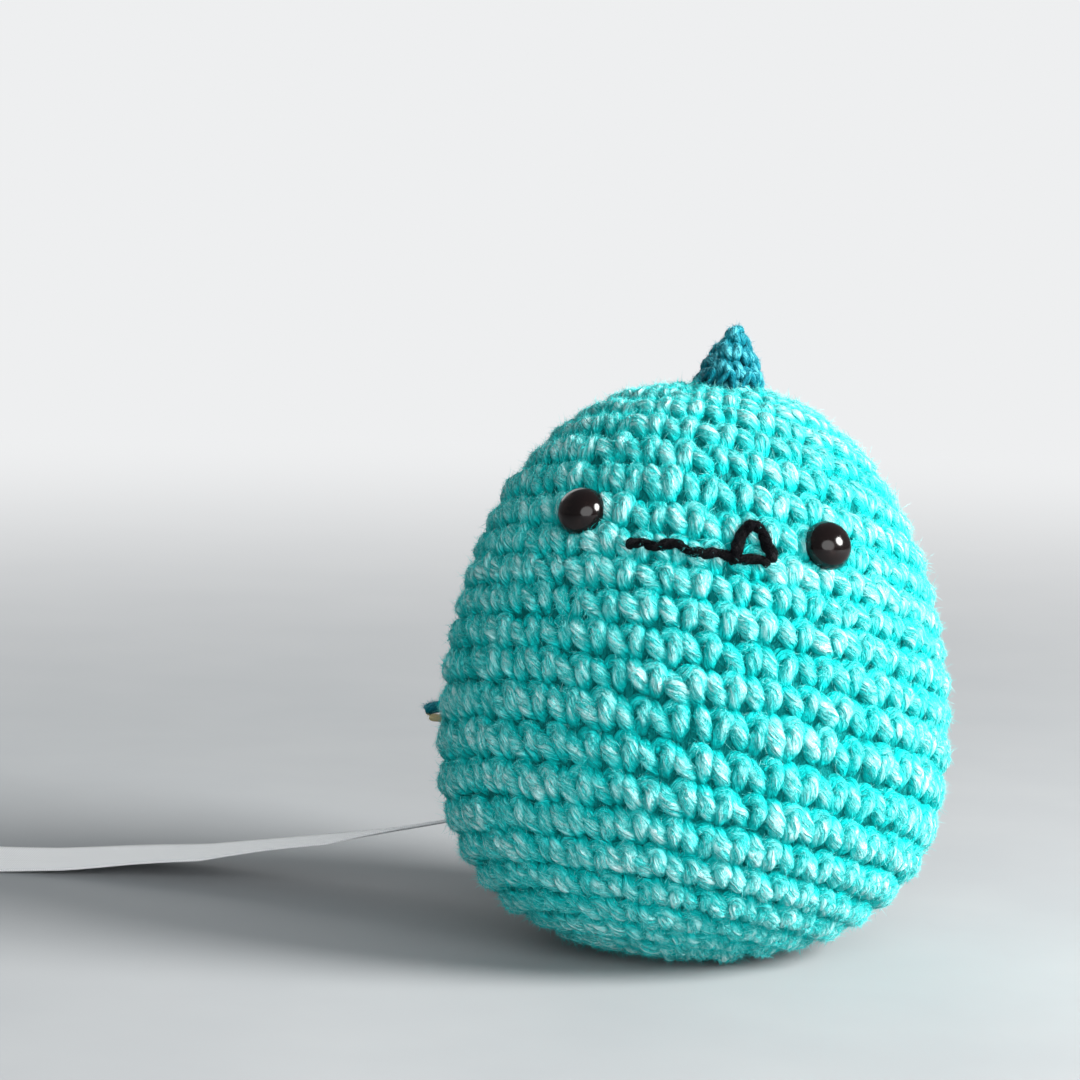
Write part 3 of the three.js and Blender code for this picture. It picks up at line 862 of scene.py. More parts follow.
@dataclass(frozen=True)
class Yarn:
    """Yarn laid along a path, with its plies.

    Attributes:
        radius: in metres.
        plies: plies that show.
        groove: share of the radius that the groove between plies takes.
        lay: length in which a ply goes once round.
        sides: corners of its section.
    """

    radius: float
    plies: int = 4
    groove: float = 0.12
    lay: float = 12 * MM
    sides: int = 16

    def tube(self, path: Array, outward: Array, fullness: Array, tint: Array,
             depth: Array, blocks: int = 1) -> Shape:
        """Sweeps the yarn along a path.

        Args:
            path: places of its middle.
            outward: a direction at each place that the section is lined up with.
            fullness: share of the radius at each place.
            tint: shade at each place, from 0 to 1.
            depth: how far each place lies under the outside, in radii.
            blocks: equal lengths that the path is made of, for the bake map.

        Returns:
            The closed tube.
        """
        count = len(path)
        tangent = unit(np.gradient(path, axis=0))
        side, up = self._frames(tangent, outward, count // blocks)
        length = walked(path)
        spin = TURN * length / self.lay
        angles = np.linspace(0, TURN, self.sides, endpoint=False)
        own = angles[None, :] + spin[:, None]
        lobes = np.abs(np.cos(own * self.plies / 2)) ** 0.7
        radius = self.radius * fullness[:, None] * (1 - self.groove + self.groove * lobes)
        ring = (np.cos(angles)[None, :, None] * side[:, None]
                + np.sin(angles)[None, :, None] * up[:, None])
        points = (path[:, None] + ring * radius[..., None]).reshape(-1, 3)
        # How far each point faces out: with the depth it sets painted highlight on top and painted
        # shade underneath
        above = (ring * outward[:, None]).sum(-1) * radius / self.radius
        down = np.repeat(length[:, None], self.sides, 1)
        space = np.stack([np.cos(own) * radius, np.sin(own) * radius, down], -1).reshape(-1, 3)
        values = {YARN_SPACE: space, TINT: np.repeat(tint, self.sides),
                  SUNK: (depth[:, None] - above).ravel()}
        return Shape(points, tube_quads(count, self.sides), tube_caps(count, self.sides),
                     strip_uv(count, self.sides, blocks), values=values)

    @staticmethod
    def _frames(tangent: Array, outward: Array, block: int) -> Tuple[Array, Array]:
        """Section axes that don't spin along the path.

        Args:
            tangent: direction of the path at each place.
            outward: direction that each block's first section is lined up with.
            block: places in a block.

        Returns:
            Two unit directions across the path at each place.
        """
        count = len(tangent) // block
        along = tangent.reshape(count, block, 3)
        first = outward.reshape(count, block, 3)[:, 0]
        side = np.zeros_like(along)
        current = first
        for i in range(block):
            current = unit(current - (current * along[:, i]).sum(-1, keepdims=True) * along[:, i])
            side[:, i] = current
        target = np.roll(side[:, 0], -1, axis=0)
        last = along[:, -1]
        target = unit(target - (target * last).sum(-1, keepdims=True) * last)
        turn = np.arctan2((np.cross(current, target) * last).sum(-1), (current * target).sum(-1))
        turn[-1] = 0
        angle = turn[:, None] * np.linspace(0, 1, block)[None, :]
        up = np.cross(along, side)
        c, s = np.cos(angle)[..., None], np.sin(angle)[..., None]
        return (side * c + up * s).reshape(-1, 3), (up * c - side * s).reshape(-1, 3)


def tube_quads(count: int, sides: int) -> Array:
    """Faces between neighbouring rings.

    Args:
        count: rings.
        sides: points in a ring.

    Returns:
        Four point numbers a face.
    """
    ring = np.arange(count - 1)[:, None] * sides
    a = np.arange(sides)[None, :]
    b = (a + 1) % sides
    return np.stack([ring + a, ring + b, ring + sides + b, ring + sides + a], -1).reshape(-1, 4)


def tube_caps(count: int, sides: int) -> Array:
    """Fans that close a tube's two ends."""
    fan = np.array([(0, i + 1, i) for i in range(1, sides - 1)])
    return np.concatenate([fan, fan[:, ::-1] + (count - 1) * sides])


def strip_uv(count: int, sides: int, blocks: int) -> Array:
    """Bake-map places of a tube's faces: one cell of a square grid for each block of its length.

    Args:
        count: rings.
        sides: points in a ring.
        blocks: equal lengths that the tube is made of.

    Returns:
        Two numbers for each corner of each face.
    """
    cells, per = math.ceil(math.sqrt(blocks)), max(1, count // blocks)
    ring, side = np.arange(count - 1), np.arange(sides)
    cell = np.minimum(ring // per, blocks - 1)
    start = ((ring - cell * per) / (per + 1))[:, None]
    end = start + 1 / (per + 1)
    low, high = side / (sides + 1), (side + 1) / (sides + 1)
    column, row = (cell % cells)[:, None], (cell // cells)[:, None]
    corners = [(start, low), (start, high), (end, high), (end, low)]
    places = [((column + u * 0.96) / cells, (row + v * 0.96) / cells) for u, v in corners]
    uv = [np.stack(np.broadcast_arrays(*place), -1) for place in places]
    return np.stack(uv, 2).reshape(-1, 4, 2)


def smooth_path(points: Array, rings: Sequence[int]) -> Array:
    """Runs a smooth curve through control points, with a number of steps for each span.

    Args:
        points: control points of many like stitches: stitch, control point, component.
        rings: steps in each span; the last span leads to the next stitch.

    Returns:
        Places along the curve: stitch, step, component.
    """
    flat = points.reshape(-1, points.shape[-1])
    padded = np.concatenate([flat[:1] * 2 - flat[1:2], flat, flat[-1:] * 2 - flat[-2:-1],
                             flat[-1:] * 3 - flat[-2:-1] * 2])
    stitches, controls = points.shape[:2]
    start = np.arange(stitches)[:, None] * controls
    out = []
    for span, count in enumerate(rings):
        index = start[:, 0] + span
        p0, p1, p2, p3 = (padded[index + k] for k in range(4))
        for t in np.arange(count) / count:
            out.append(0.5 * (2 * p1 + (p2 - p0) * t + (2 * p0 - 5 * p1 + 4 * p2 - p3) * t ** 2
                              + (3 * p1 - p0 - 3 * p2 + p3) * t ** 3))
    return np.stack(out, 1)


@dataclass
class Crochet:
    """Works a fabric in single crochet, stitch by stitch along one spiral.

    Attributes:
        fabric: the surface.
        yarn: what it is worked in.
        tension: how evenly.
        drift: angle by which each round lies to the right of the one under it.
        start: angle from the back by which the last stitch is turned.
        seed: of its small irregularities.
    """

    fabric: Fabric
    yarn: Yarn
    tension: Tension = Tension()
    drift: float = math.radians(2.5)
    start: float = 0.0
    seed: int = 7

    def spiral(self) -> Array:
        """Lays out the stitches.

        Returns:
            Position in rounds, angle and width of each, from the last one worked to the first.
        """
        rounds, turn, made = len(self.fabric.stitches), self.start, []
        while turn < TURN * rounds:
            level = rounds - turn / TURN
            width = (TURN - self.drift) / self.fabric.stitches[min(int(level), rounds - 1)]
            middle = turn + width / 2
            made.append((rounds - middle / TURN, middle - math.pi, width))
            turn += width
        return np.array(made)

    def work(self, stitches: Array, seed: int) -> Tuple[Array, Array, Array, Array]:
        """Lays the yarn of some stitches.

        Args:
            stitches: rows of the spiral.
            seed: of their irregularities.

        Returns:
            For each stitch and step: place, outward direction, fullness and depth in radii.
        """
        random = np.random.default_rng(self.seed * 1000 + seed)
        row, turn, width = (stitches[:, i:i + 1] for i in range(3))
        count = len(row)

        def stray(amount: float) -> Array:
            """Random numbers, one a stitch, of a given spread."""
            return np.clip(random.normal(0, 1, (count, 1)), -2, 2) * amount

        tension, (across, inwards) = self.tension, self.tension.jitter
        lean = stray(tension.lean)
        u = STITCH[None, :, 0] * (1 + stray(tension.size))
        v = STITCH[None, :, 1] * (1 + stray(tension.size))
        u, v = u - v * lean, v + u * lean
        u = u + stray(tension.sideways) + random.normal(0, across, u.shape)
        v = v + stray(tension.upward) + random.normal(0, across, v.shape)
        deeper = np.abs(stray(tension.depth))
        depth = STITCH[None, :, 2] + deeper + random.normal(0, inwards, u.shape)
        swell = stray(tension.fullness)
        full = STITCH[None, :, 3] * (1 + swell + random.normal(0, tension.slub, u.shape))
        table = np.stack([row + v, turn + u * width, depth, full], -1)
        along = smooth_path(table, RINGS)
        depth = np.maximum(along[..., 2], 0.75)
        shape = along.shape[:2]
        path, outward = self.fabric.place(along[..., 0].ravel(), along[..., 1].ravel(),
                                          (depth * self.yarn.radius).ravel())
        return path.reshape(*shape, 3), outward.reshape(*shape, 3), along[..., 3], depth

    def piece(self, stitches: Array, seed: int) -> Tuple[Shape, "Nap"]:
        """Makes the yarn of some stitches, and what its fuzz grows from.

        Args:
            stitches: rows of the spiral.
            seed: of their irregularities.

        Returns:
            The tube and the roots of its fuzz.
        """
        path, outward, full, depth = self.work(stitches, seed)
        count, steps = path.shape[:2]
        path, outward = path.reshape(-1, 3), outward.reshape(-1, 3)
        full, depth = full.ravel(), depth.ravel()
        tint = np.repeat(np.random.default_rng(self.seed * 77 + seed).random(count), steps)
        shape = self.yarn.tube(path, outward, full, tint, depth, count)
        shape.points[:, 2] = np.maximum(shape.points[:, 2], YARN_FLOOR)
        return shape, Nap(path, outward, self.yarn.radius * full, depth)


@dataclass(frozen=True)
class Fuzz:
    """Loose fibres of a yarn.

    Attributes:
        length: of the longest, in metres.
        thickness: of one fibre.
        loose: share of them that stand off.
        spread: how much they turn away from the yarn's own direction.
        bend: how far loose ones curve, as a share of their length.
        root: share of the yarn's radius at which they start.
        deepest: depth in yarn radii past which none grow.
    """

    length: float
    thickness: float = 0.05 * MM
    loose: float = 0.2
    spread: float = 0.8
    bend: float = 0.4
    root: float = 0.93
    deepest: float = 1.5


@dataclass
class Nap:
    """Places that loose fibres stand out from.

    Attributes:
        path: middles of the yarn.
        outward: out of the fabric.
        radius: of the yarn there.
        depth: in yarn radii.
    """

    path: Array
    outward: Array
    radius: Array
    depth: Array

    def fibres(self, count: int, fuzz: Fuzz, seed: int) -> Shape:
        """Grows short straight fibres that cling to the yarn and curved ones that stand off it.

        Args:
            count: how many.
            fuzz: what they are like.
            seed: of their places.

        Returns:
            The fibres, each a closed three-sided strand.
        """
        random = np.random.default_rng(seed)
        free = int(count * fuzz.loose)
        cling = self._grow(random, count - free, fuzz, fuzz.length * 0.7, (0.05, 0.6), 1)
        stand = self._grow(random, free, fuzz, fuzz.length, (0.3, 1.0), 2)
        return strands(cling, fuzz.thickness, random.random(count - free)).join(
            strands(stand, fuzz.thickness * 0.7, random.random(free)))

    def _grow(self, random: np.random.Generator, count: int, fuzz: Fuzz, length: float,
              rise: Tuple[float, float], steps: int) -> Array:
        """Paths of fibres.

        Args:
            random: source of their irregularities.
            count: how many.
            fuzz: what they are like.
            length: longest of these, in metres.
            rise: least and most that they point out of the yarn.
            steps: straight parts of each.

        Returns:
            Fibre, step, place.
        """
        bare = (self.depth < fuzz.deepest) & (np.arange(len(self.depth)) > 0)
        pick = random.choice(np.flatnonzero(bare), count)
        tangent = unit(np.gradient(self.path, axis=0))[pick]
        out = self.outward[pick]
        across = unit(np.cross(tangent, out))
        angle = random.normal(0, 0.75, count)[:, None]
        way = unit(out * np.cos(angle) + across * np.sin(angle))
        aside = unit(np.cross(tangent, way))
        root = self.path[pick] + way * self.radius[pick][:, None] * fuzz.root
        root = root + tangent * random.uniform(-0.3, 0.3, count)[:, None] * MM
        sense = np.where(random.random((count, 1)) < 0.5, -1.0, 1.0)
        flow = tangent * sense + aside * fuzz.spread * random.normal(0, 1, (count, 1))
        flow = unit(unit(flow) + way * random.uniform(*rise, (count, 1)))
        bend = unit(random.normal(0, 1, (count, 3))) * fuzz.bend
        reach = length * random.uniform(0.3, 1.0, (count, 1)) ** 1.4
        shares = np.linspace(0, 1, steps + 1)[None, :, None]
        course = flow[:, None] * shares + bend[:, None] * shares ** 2 * (steps - 1)
        path = root[:, None] + course * reach[:, None]
        path[..., 2] = np.maximum(path[..., 2], FIBRE_FLOOR)
        return path


def strands(path: Array, thickness: float, tint: Array) -> Shape:
    """Makes thin three-sided strands along short paths, each ending in a point.

    Args:
        path: strand, step, place.
        thickness: of a strand, in metres.
        tint: shade of each strand.

    Returns:
        All the strands as one shape.
    """
    count, steps = path.shape[:2]
    tangent = unit(np.gradient(path, axis=1))[:, :-1]
    hint = np.where(np.abs(tangent[..., 2:3]) > 0.9, (1.0, 0.0, 0.0), (0.0, 0.0, 1.0))
    side = unit(np.cross(tangent, hint))
    up = np.cross(tangent, side)
    angles = (np.arange(3) * TURN / 3)[:, None]
    ring = side[:, :, None] * np.cos(angles) + up[:, :, None] * np.sin(angles)
    rings = path[:, :-1, None] + ring * thickness / 2
    points = np.concatenate([rings.reshape(count, -1, 3), path[:, -1:]], 1)
    size = points.shape[1]
    start = np.arange(count)[:, None, None] * size
    quads = (tube_quads(steps - 1, 3)[None] + start).reshape(-1, 4)
    end = (steps - 2) * 3
    fans = np.array([(0, 2, 1)] + [(end + i, end + (i + 1) % 3, size - 1) for i in range(3)])
    tris = (fans[None] + start).reshape(-1, 3)
    cells, number = math.ceil(math.sqrt(count)), np.arange(count)
    cell = np.stack([number % cells, number // cells], -1)[:, None, None]
    square = np.array([(0, 0), (1, 0), (1, 1), (0, 1)])[None, None] * 0.8
    quad_uv, tri_uv = (
        np.repeat((cell + square[..., :corners, :]) / cells, faces, 1).reshape(-1, corners, 2)
        for corners, faces in ((4, end), (3, len(fans))))
    values = {TINT: np.repeat(tint, size)}
    return Shape(points.reshape(-1, 3), quads, tris, quad_uv, tri_uv, values)


def lathe_shape(rings: Array) -> Shape:
    """A closed surface through rings of points whose first and last rings are single places.

    Args:
        rings: ring, side, place.

    Returns:
        The surface.
    """
    rows, columns = rings.shape[:2]
    points = np.concatenate([rings[:1].mean(1), rings[1:-1].reshape(-1, 3), rings[-1:].mean(1)])
    ring = np.arange(rows - 3)[:, None] * columns + 1
    a = np.arange(columns)
    b = (a + 1) % columns
    quads = np.stack([ring + a, ring + columns + a, ring + columns + b, ring + b], -1)
    last = len(points) - 1
    end = last - columns
    caps = [np.stack([0 * a, a + 1, b + 1], -1), np.stack([0 * a + last, b + end, a + end], -1)]
    u, v = np.tile(a, rows - 3) / columns, np.repeat(np.arange(rows - 3), columns) / rows
    uv = np.stack([np.stack([u + right / columns, v + up / rows], -1)
                   for right, up in ((0, 0), (0, 1), (1, 1), (1, 0))], 1)
    return Shape(points, quads.reshape(-1, 4), np.concatenate(caps), uv * 0.98,
                 values={YARN_SPACE: points.copy()})


def inner_layer(points: Array, columns: int, sunk: Array) -> Shape:
    """A closed surface inside the yarn, with what its finish needs.

    Args:
        points: places, ring by ring.
        columns: places in a ring.
        sunk: depth of each in yarn radii, which sets its painted shade.

    Returns:
        The surface.
    """
    shape = lathe_shape(points.reshape(-1, columns, 3))
    sunk = np.concatenate([sunk[:1], sunk[columns:-columns], sunk[-columns:1 - columns]])
    shape.values.update({TINT: np.zeros(len(sunk)), SUNK: sunk})
    return shape


def dress(node: bpy.types.Object, material: bpy.types.Material) -> None:
    """Gives a node that stays as it is its finish.

    Args:
        node: the node.
        material: its finish.
    """
    for slot in node.material_slots:
        slot.material = material
    if not node.material_slots:
        node.data.materials.append(material)


@dataclass
class Cover:
    """The crocheted body: its rounds of yarn, the layer behind them and its fuzz.

    Attributes:
        form: the egg that it covers.
        yarn: worsted yarn.
        face_limit: most four-sided faces of one piece.
        fuzz: its loose fibres.
        fuzz_density: fibres on one stitch.
        backing_depth: how deep the inner layer lies behind a round and between two.
        backing_sunk: the same in yarn radii, for its painted shade.
        backing_grid: its rings in a round, and the places in a ring.
        backing_floor: least height of the inner layer.
    """

    form: EggForm
    yarn: Yarn = Yarn(1.3 * MM, plies=4, groove=0.24, lay=15 * MM, sides=20)
    face_limit: int = 96000
    fuzz: Fuzz = Fuzz(2.2 * MM, 0.06 * MM, 0.12)
    fuzz_density: int = 430
    backing_depth: Tuple[float, float] = (1.2 * MM, 1.9 * MM)
    backing_sunk: Tuple[float, float] = (1.9, 2.7)
    backing_grid: Tuple[int, int] = (8, 160)
    backing_floor: float = 0.6 * MM

    def build(self) -> None:
        """Makes every piece of the cover."""
        fabric = BodyFabric(self.form)
        crochet = Crochet(fabric, self.yarn)
        spiral = crochet.spiral()
        log.info("rounds %d, stitches %d", len(fabric.stitches), len(spiral))
        material, fuzz = AQUA.material(), AQUA_FUZZ.material()
        most = self.face_limit // (RINGS.sum() * self.yarn.sides)
        for i, first in enumerate(range(0, len(spiral), most)):
            part = spiral[first:first + most]
            shape, nap = crochet.piece(part, i)
            shape.piece(f"cover_yarn_{i + 1}", material, "aqua_yarn", "body_cover")
            fibres = nap.fibres(len(part) * self.fuzz_density, self.fuzz, i + 5)
            fibres.piece(f"cover_fuzz_{i + 1}", fuzz, "aqua_yarn")
        self._backing(fabric, material)

    def _backing(self, fabric: BodyFabric, material: bpy.types.Material) -> None:
        """Makes the inner side of the fabric, which closes the hollows between the stitches and carries
        painted shade there.

        Args:
            fabric: the rounds.
            material: of their yarn.
        """
        count, (rings, columns) = len(fabric.stitches), self.backing_grid
        level, turn = every_pair(np.linspace(count + 0.6, 0.0, count * rings),
                                 np.linspace(-math.pi, math.pi, columns, endpoint=False))
        between = (1 + np.cos(TURN * (level + turn / TURN))) / 2
        # It lies deeper between rounds, with deeper painted shade there
        depth, sunk = (near + (far - near) * between
                       for near, far in (self.backing_depth, self.backing_sunk))
        points = fabric.place(level, turn, depth)[0]
        points[:, 2] = np.maximum(points[:, 2], self.backing_floor)
        shape = inner_layer(points, columns, sunk)
        shape.piece("cover_inner_layer", material, "aqua_yarn", "body_cover")


@dataclass
class Filling:
    """Loft of loose fibre inside the cover.

    Attributes:
        form: the egg that it fills.
        depth: how far its surface lies under the cover's.
        lump: how far its lumps stray.
        grid: its rings, and the places in a ring.
        sunk: depth in yarn radii that its painted shade and highlight go by.
    """

    form: EggForm
    depth: float = 4.3 * MM
    lump: float = 0.35 * MM
    grid: Tuple[int, int] = (60, 96)
    sunk: float = 0.5

    def build(self) -> None:
        """Makes the filling."""
        rows, columns = self.grid
        polar, azimuth = every_pair(np.linspace(0.0, math.pi, rows),
                                    np.linspace(0, TURN, columns, endpoint=False))
        waves = np.sin(azimuth * 5 + 3 * np.sin(polar * 4)) * np.sin(polar * 7 + np.sin(azimuth * 3))
        depth = self.depth + self.lump * waves * np.sin(polar)
        points = self.form.place(polar, azimuth, depth)[0]
        shape = inner_layer(points, columns, np.full(len(points), self.sunk))
        piece = shape.piece("fibre_filling", FILLING.material(), "fibre_filling", "stuffing")


class Side(Enum):
    """The toy's eyes, as the camera sees them."""

    LEFT = "left_eye"
    RIGHT = "right_eye"


@dataclass
class Eyes:
    """Two moulded eyes with domes, flat backs and ridged shanks, and their washers.

    Attributes:
        form: the body that they sit on.
        nodes: the frame's pieces, for the washers.
        spread: angle from the face's middle to each eye.
        polar: angle from the crown.
        radius: of a dome.
        dome: its height above the rim.
        rim: height of the rim.
        edge: steps of the rim's rounded edge, inwards and up, in millimetres.
        seat: how deep the back sits in the cover.
        shank_radius: of the shank.
        shank_length: from the back to the tip.
        plain: length of the shank that has no ridges.
        tip: part of it below the ridges.
        neck: length of its smooth part under the back.
        fillet: size of the foot between neck and back.
        ridge: height of a ridge.
        ridges: how many.
        sides: of the round form.
        steps: of the dome's curve.
    """

    form: EggForm
    nodes: Dict[str, bpy.types.Object]
    spread: Tuple[float, float] = (math.radians(-29.8), math.radians(31.0))
    polar: float = math.radians(62.9)
    radius: float = 4.0 * MM
    dome: float = 3.6 * MM
    rim: float = 0.7 * MM
    edge: Tuple[Tuple[float, float], ...] = ((0.35, 0.0), (0.1, 0.08), (0.0, 0.3))
    seat: float = 0.7 * MM
    shank_radius: float = 1.5 * MM
    shank_length: float = 10.5 * MM
    plain: float = 4.4 * MM
    tip: float = 0.6 * MM
    neck: float = 2.6 * MM
    fillet: float = 0.25 * MM
    ridge: float = 0.25 * MM
    ridges: int = 4
    sides: int = 72
    steps: int = 26

    def profile(self) -> List[Tuple[float, float]]:
        """Outline of an eye.

        Returns:
            Radius and height of places from the shank's tip to the top of the dome.
        """
        shank, low = self.shank_radius, -self.shank_length
        points = [(0.0, low), (shank * 0.6, low)]
        pitch = (self.shank_length - self.plain) / self.ridges
        for i in range(self.ridges):
            foot = low + self.tip + i * pitch
            points += [(shank - self.ridge, foot), (shank, foot + pitch * 0.2),
                       (shank, foot + pitch * 0.45), (shank - self.ridge, foot + pitch * 0.9)]
        points += [(shank, -self.neck), (shank, -self.fillet), (shank + self.fillet, 0.0)]
        points += [(self.radius - inset * MM, up * MM) for inset, up in self.edge]
        for i in range(self.steps + 1):
            turn = math.pi / 2 * i / self.steps
            points.append((self.radius * math.cos(turn), self.rim + self.dome * math.sin(turn)))
        return points

    def build(self) -> None:
        """Makes both eyes and dresses their washers."""
        material, clear = EYE_BLACK.material(), WASHER_CLEAR.material()
        for side, spread in zip(Side, self.spread):
            place = np.array([[self.polar], [self.form.turn + spread], [self.seat]])
            (point,), (out,) = self.form.place(*place)
            shape = revolve(self.profile(), self.sides, standing(point, out, np.array((1.0, 0, 0))))
            shape.piece(f"{side.value}_moulding", material, "black_plastic", side.value)
            dress(self.nodes[f"{side.value}_washer"], clear)


def revolve(profile: Sequence[Tuple[float, float]], sides: int, frame: Array) -> Shape:
    """Turns a profile that starts and ends on the axis.

    Args:
        profile: radius and height.
        sides: of the round shape.
        frame: where its axis goes.

    Returns:
        The closed shape.
    """
    angles = np.linspace(0, TURN, sides, endpoint=False)
    radius, level = (np.array(column)[:, None] for column in zip(*profile))
    rings = np.stack([radius * np.cos(angles), radius * np.sin(angles), level + 0 * angles], -1)
    return lathe_shape((rings @ frame[:3, :3].T + frame[:3, 3])[::-1])


@dataclass
class Face:
    """Mouth line and tooth in black yarn, laid over the stitches.

    Attributes:
        form: the body.
        yarn: black yarn.
        fuzz: its loose fibres.
        fibres: how many on each line.
        dive: how deep the ends of a line go into the cover.
        steps: places between two marks.
        line: azimuth and polar angle of places along the mouth, in degrees.
        arch: the same for the tooth.
    """

    form: EggForm
    yarn: Yarn = Yarn(0.86 * MM, plies=3, groove=0.26, lay=6 * MM, sides=18)
    fuzz: Fuzz = Fuzz(1.5 * MM, loose=0.35)
    fibres: int = 1500
    dive: float = 3.0 * MM
    steps: int = 12
    line: Tuple[Tuple[float, float], ...] = (
        (-22.3, 69.5), (-21.2, 69.2), (-19.0, 68.9), (-16.5, 69.3), (-14.5, 69.1), (-12.5, 68.5),
        (-10.6, 68.4), (-9.0, 69.0), (-7.6, 69.5), (-5.0, 69.5), (-2.5, 69.1), (0.0, 69.3),
        (2.0, 69.7), (4.5, 69.4), (7.5, 69.0), (9.3, 69.3), (10.4, 70.0))
    arch: Tuple[Tuple[float, float], ...] = (
        (2.1, 70.0), (2.2, 69.5), (2.5, 67.2), (3.3, 64.3), (4.4, 62.6), (6.3, 62.1), (8.3, 63.5),
        (9.6, 65.8), (10.8, 67.7), (10.5, 69.6))

    def build(self) -> None:
        """Makes the mouth line, the tooth and their fuzz."""
        material, fuzz = BLACK.material(), BLACK_FUZZ.material()
        for name, node, marks, seed, plump in (("mouth_yarn", "mouth_line", self.line, 41, 1.0),
                                               ("tooth_yarn", "tooth_arch", self.arch, 42, 1.2)):
            points, out, full = self._path(marks, seed)
            full = full * plump
            calm = np.full(len(points), 0.5)
            # One radius deep all along: painted shade on the underside, painted highlight on top
            shape = self.yarn.tube(points, out, full, calm, calm * 2)
            shape.piece(name, material, "black_yarn", node)
            nap = Nap(points, out, self.yarn.radius * full, np.ones(len(points)))
            nap.fibres(self.fibres, self.fuzz, seed).piece(f"{name}_fuzz", fuzz, "black_yarn")

    def _path(self, marks: Sequence[Tuple[float, float]], seed: int) -> Tuple[Array, Array, Array]:
        """Follows the marks, with both ends going into the cover.

        Args:
            marks: azimuth and polar angle, in degrees.
            seed: of its small irregularities.

        Returns:
            Places, outward directions and fullness.
        """
        random = np.random.default_rng(seed)
        spans = [self.steps] * (len(marks) - 1)
        smooth = smooth_path(np.radians(np.array(marks))[None], spans)[0]
        count = len(smooth)
        place = np.arange(count)
        knots = np.linspace(0, count, max(4, count // 7))
        stray, swell, drop = (np.interp(place, knots, random.normal(0, 1, len(knots)))
                              for _ in range(3))
        end = np.clip(1 - np.minimum(place, count - 1 - place) / self.steps, 0, 1)
        depth = (0.18 * drop - 0.1) * MM + end ** 2 * self.dive
        polar = smooth[:, 1] + stray * math.radians(0.12)
        points, out = self.form.place(polar, smooth[:, 0], depth)
        return points, out, 1 + 0.1 * np.clip(swell, -1.6, 1.6) - 0.3 * end


@dataclass(frozen=True)
class SpikeSize:
    """One spike.

    Attributes:
        height: share of the full height.
        radius: share of the full radius.
        side: how far it stands to one side, in full radii.
        stitches: stitches in each of its rounds.
    """

    height: float
    radius: float
    side: float
    stitches: Tuple[int, ...]


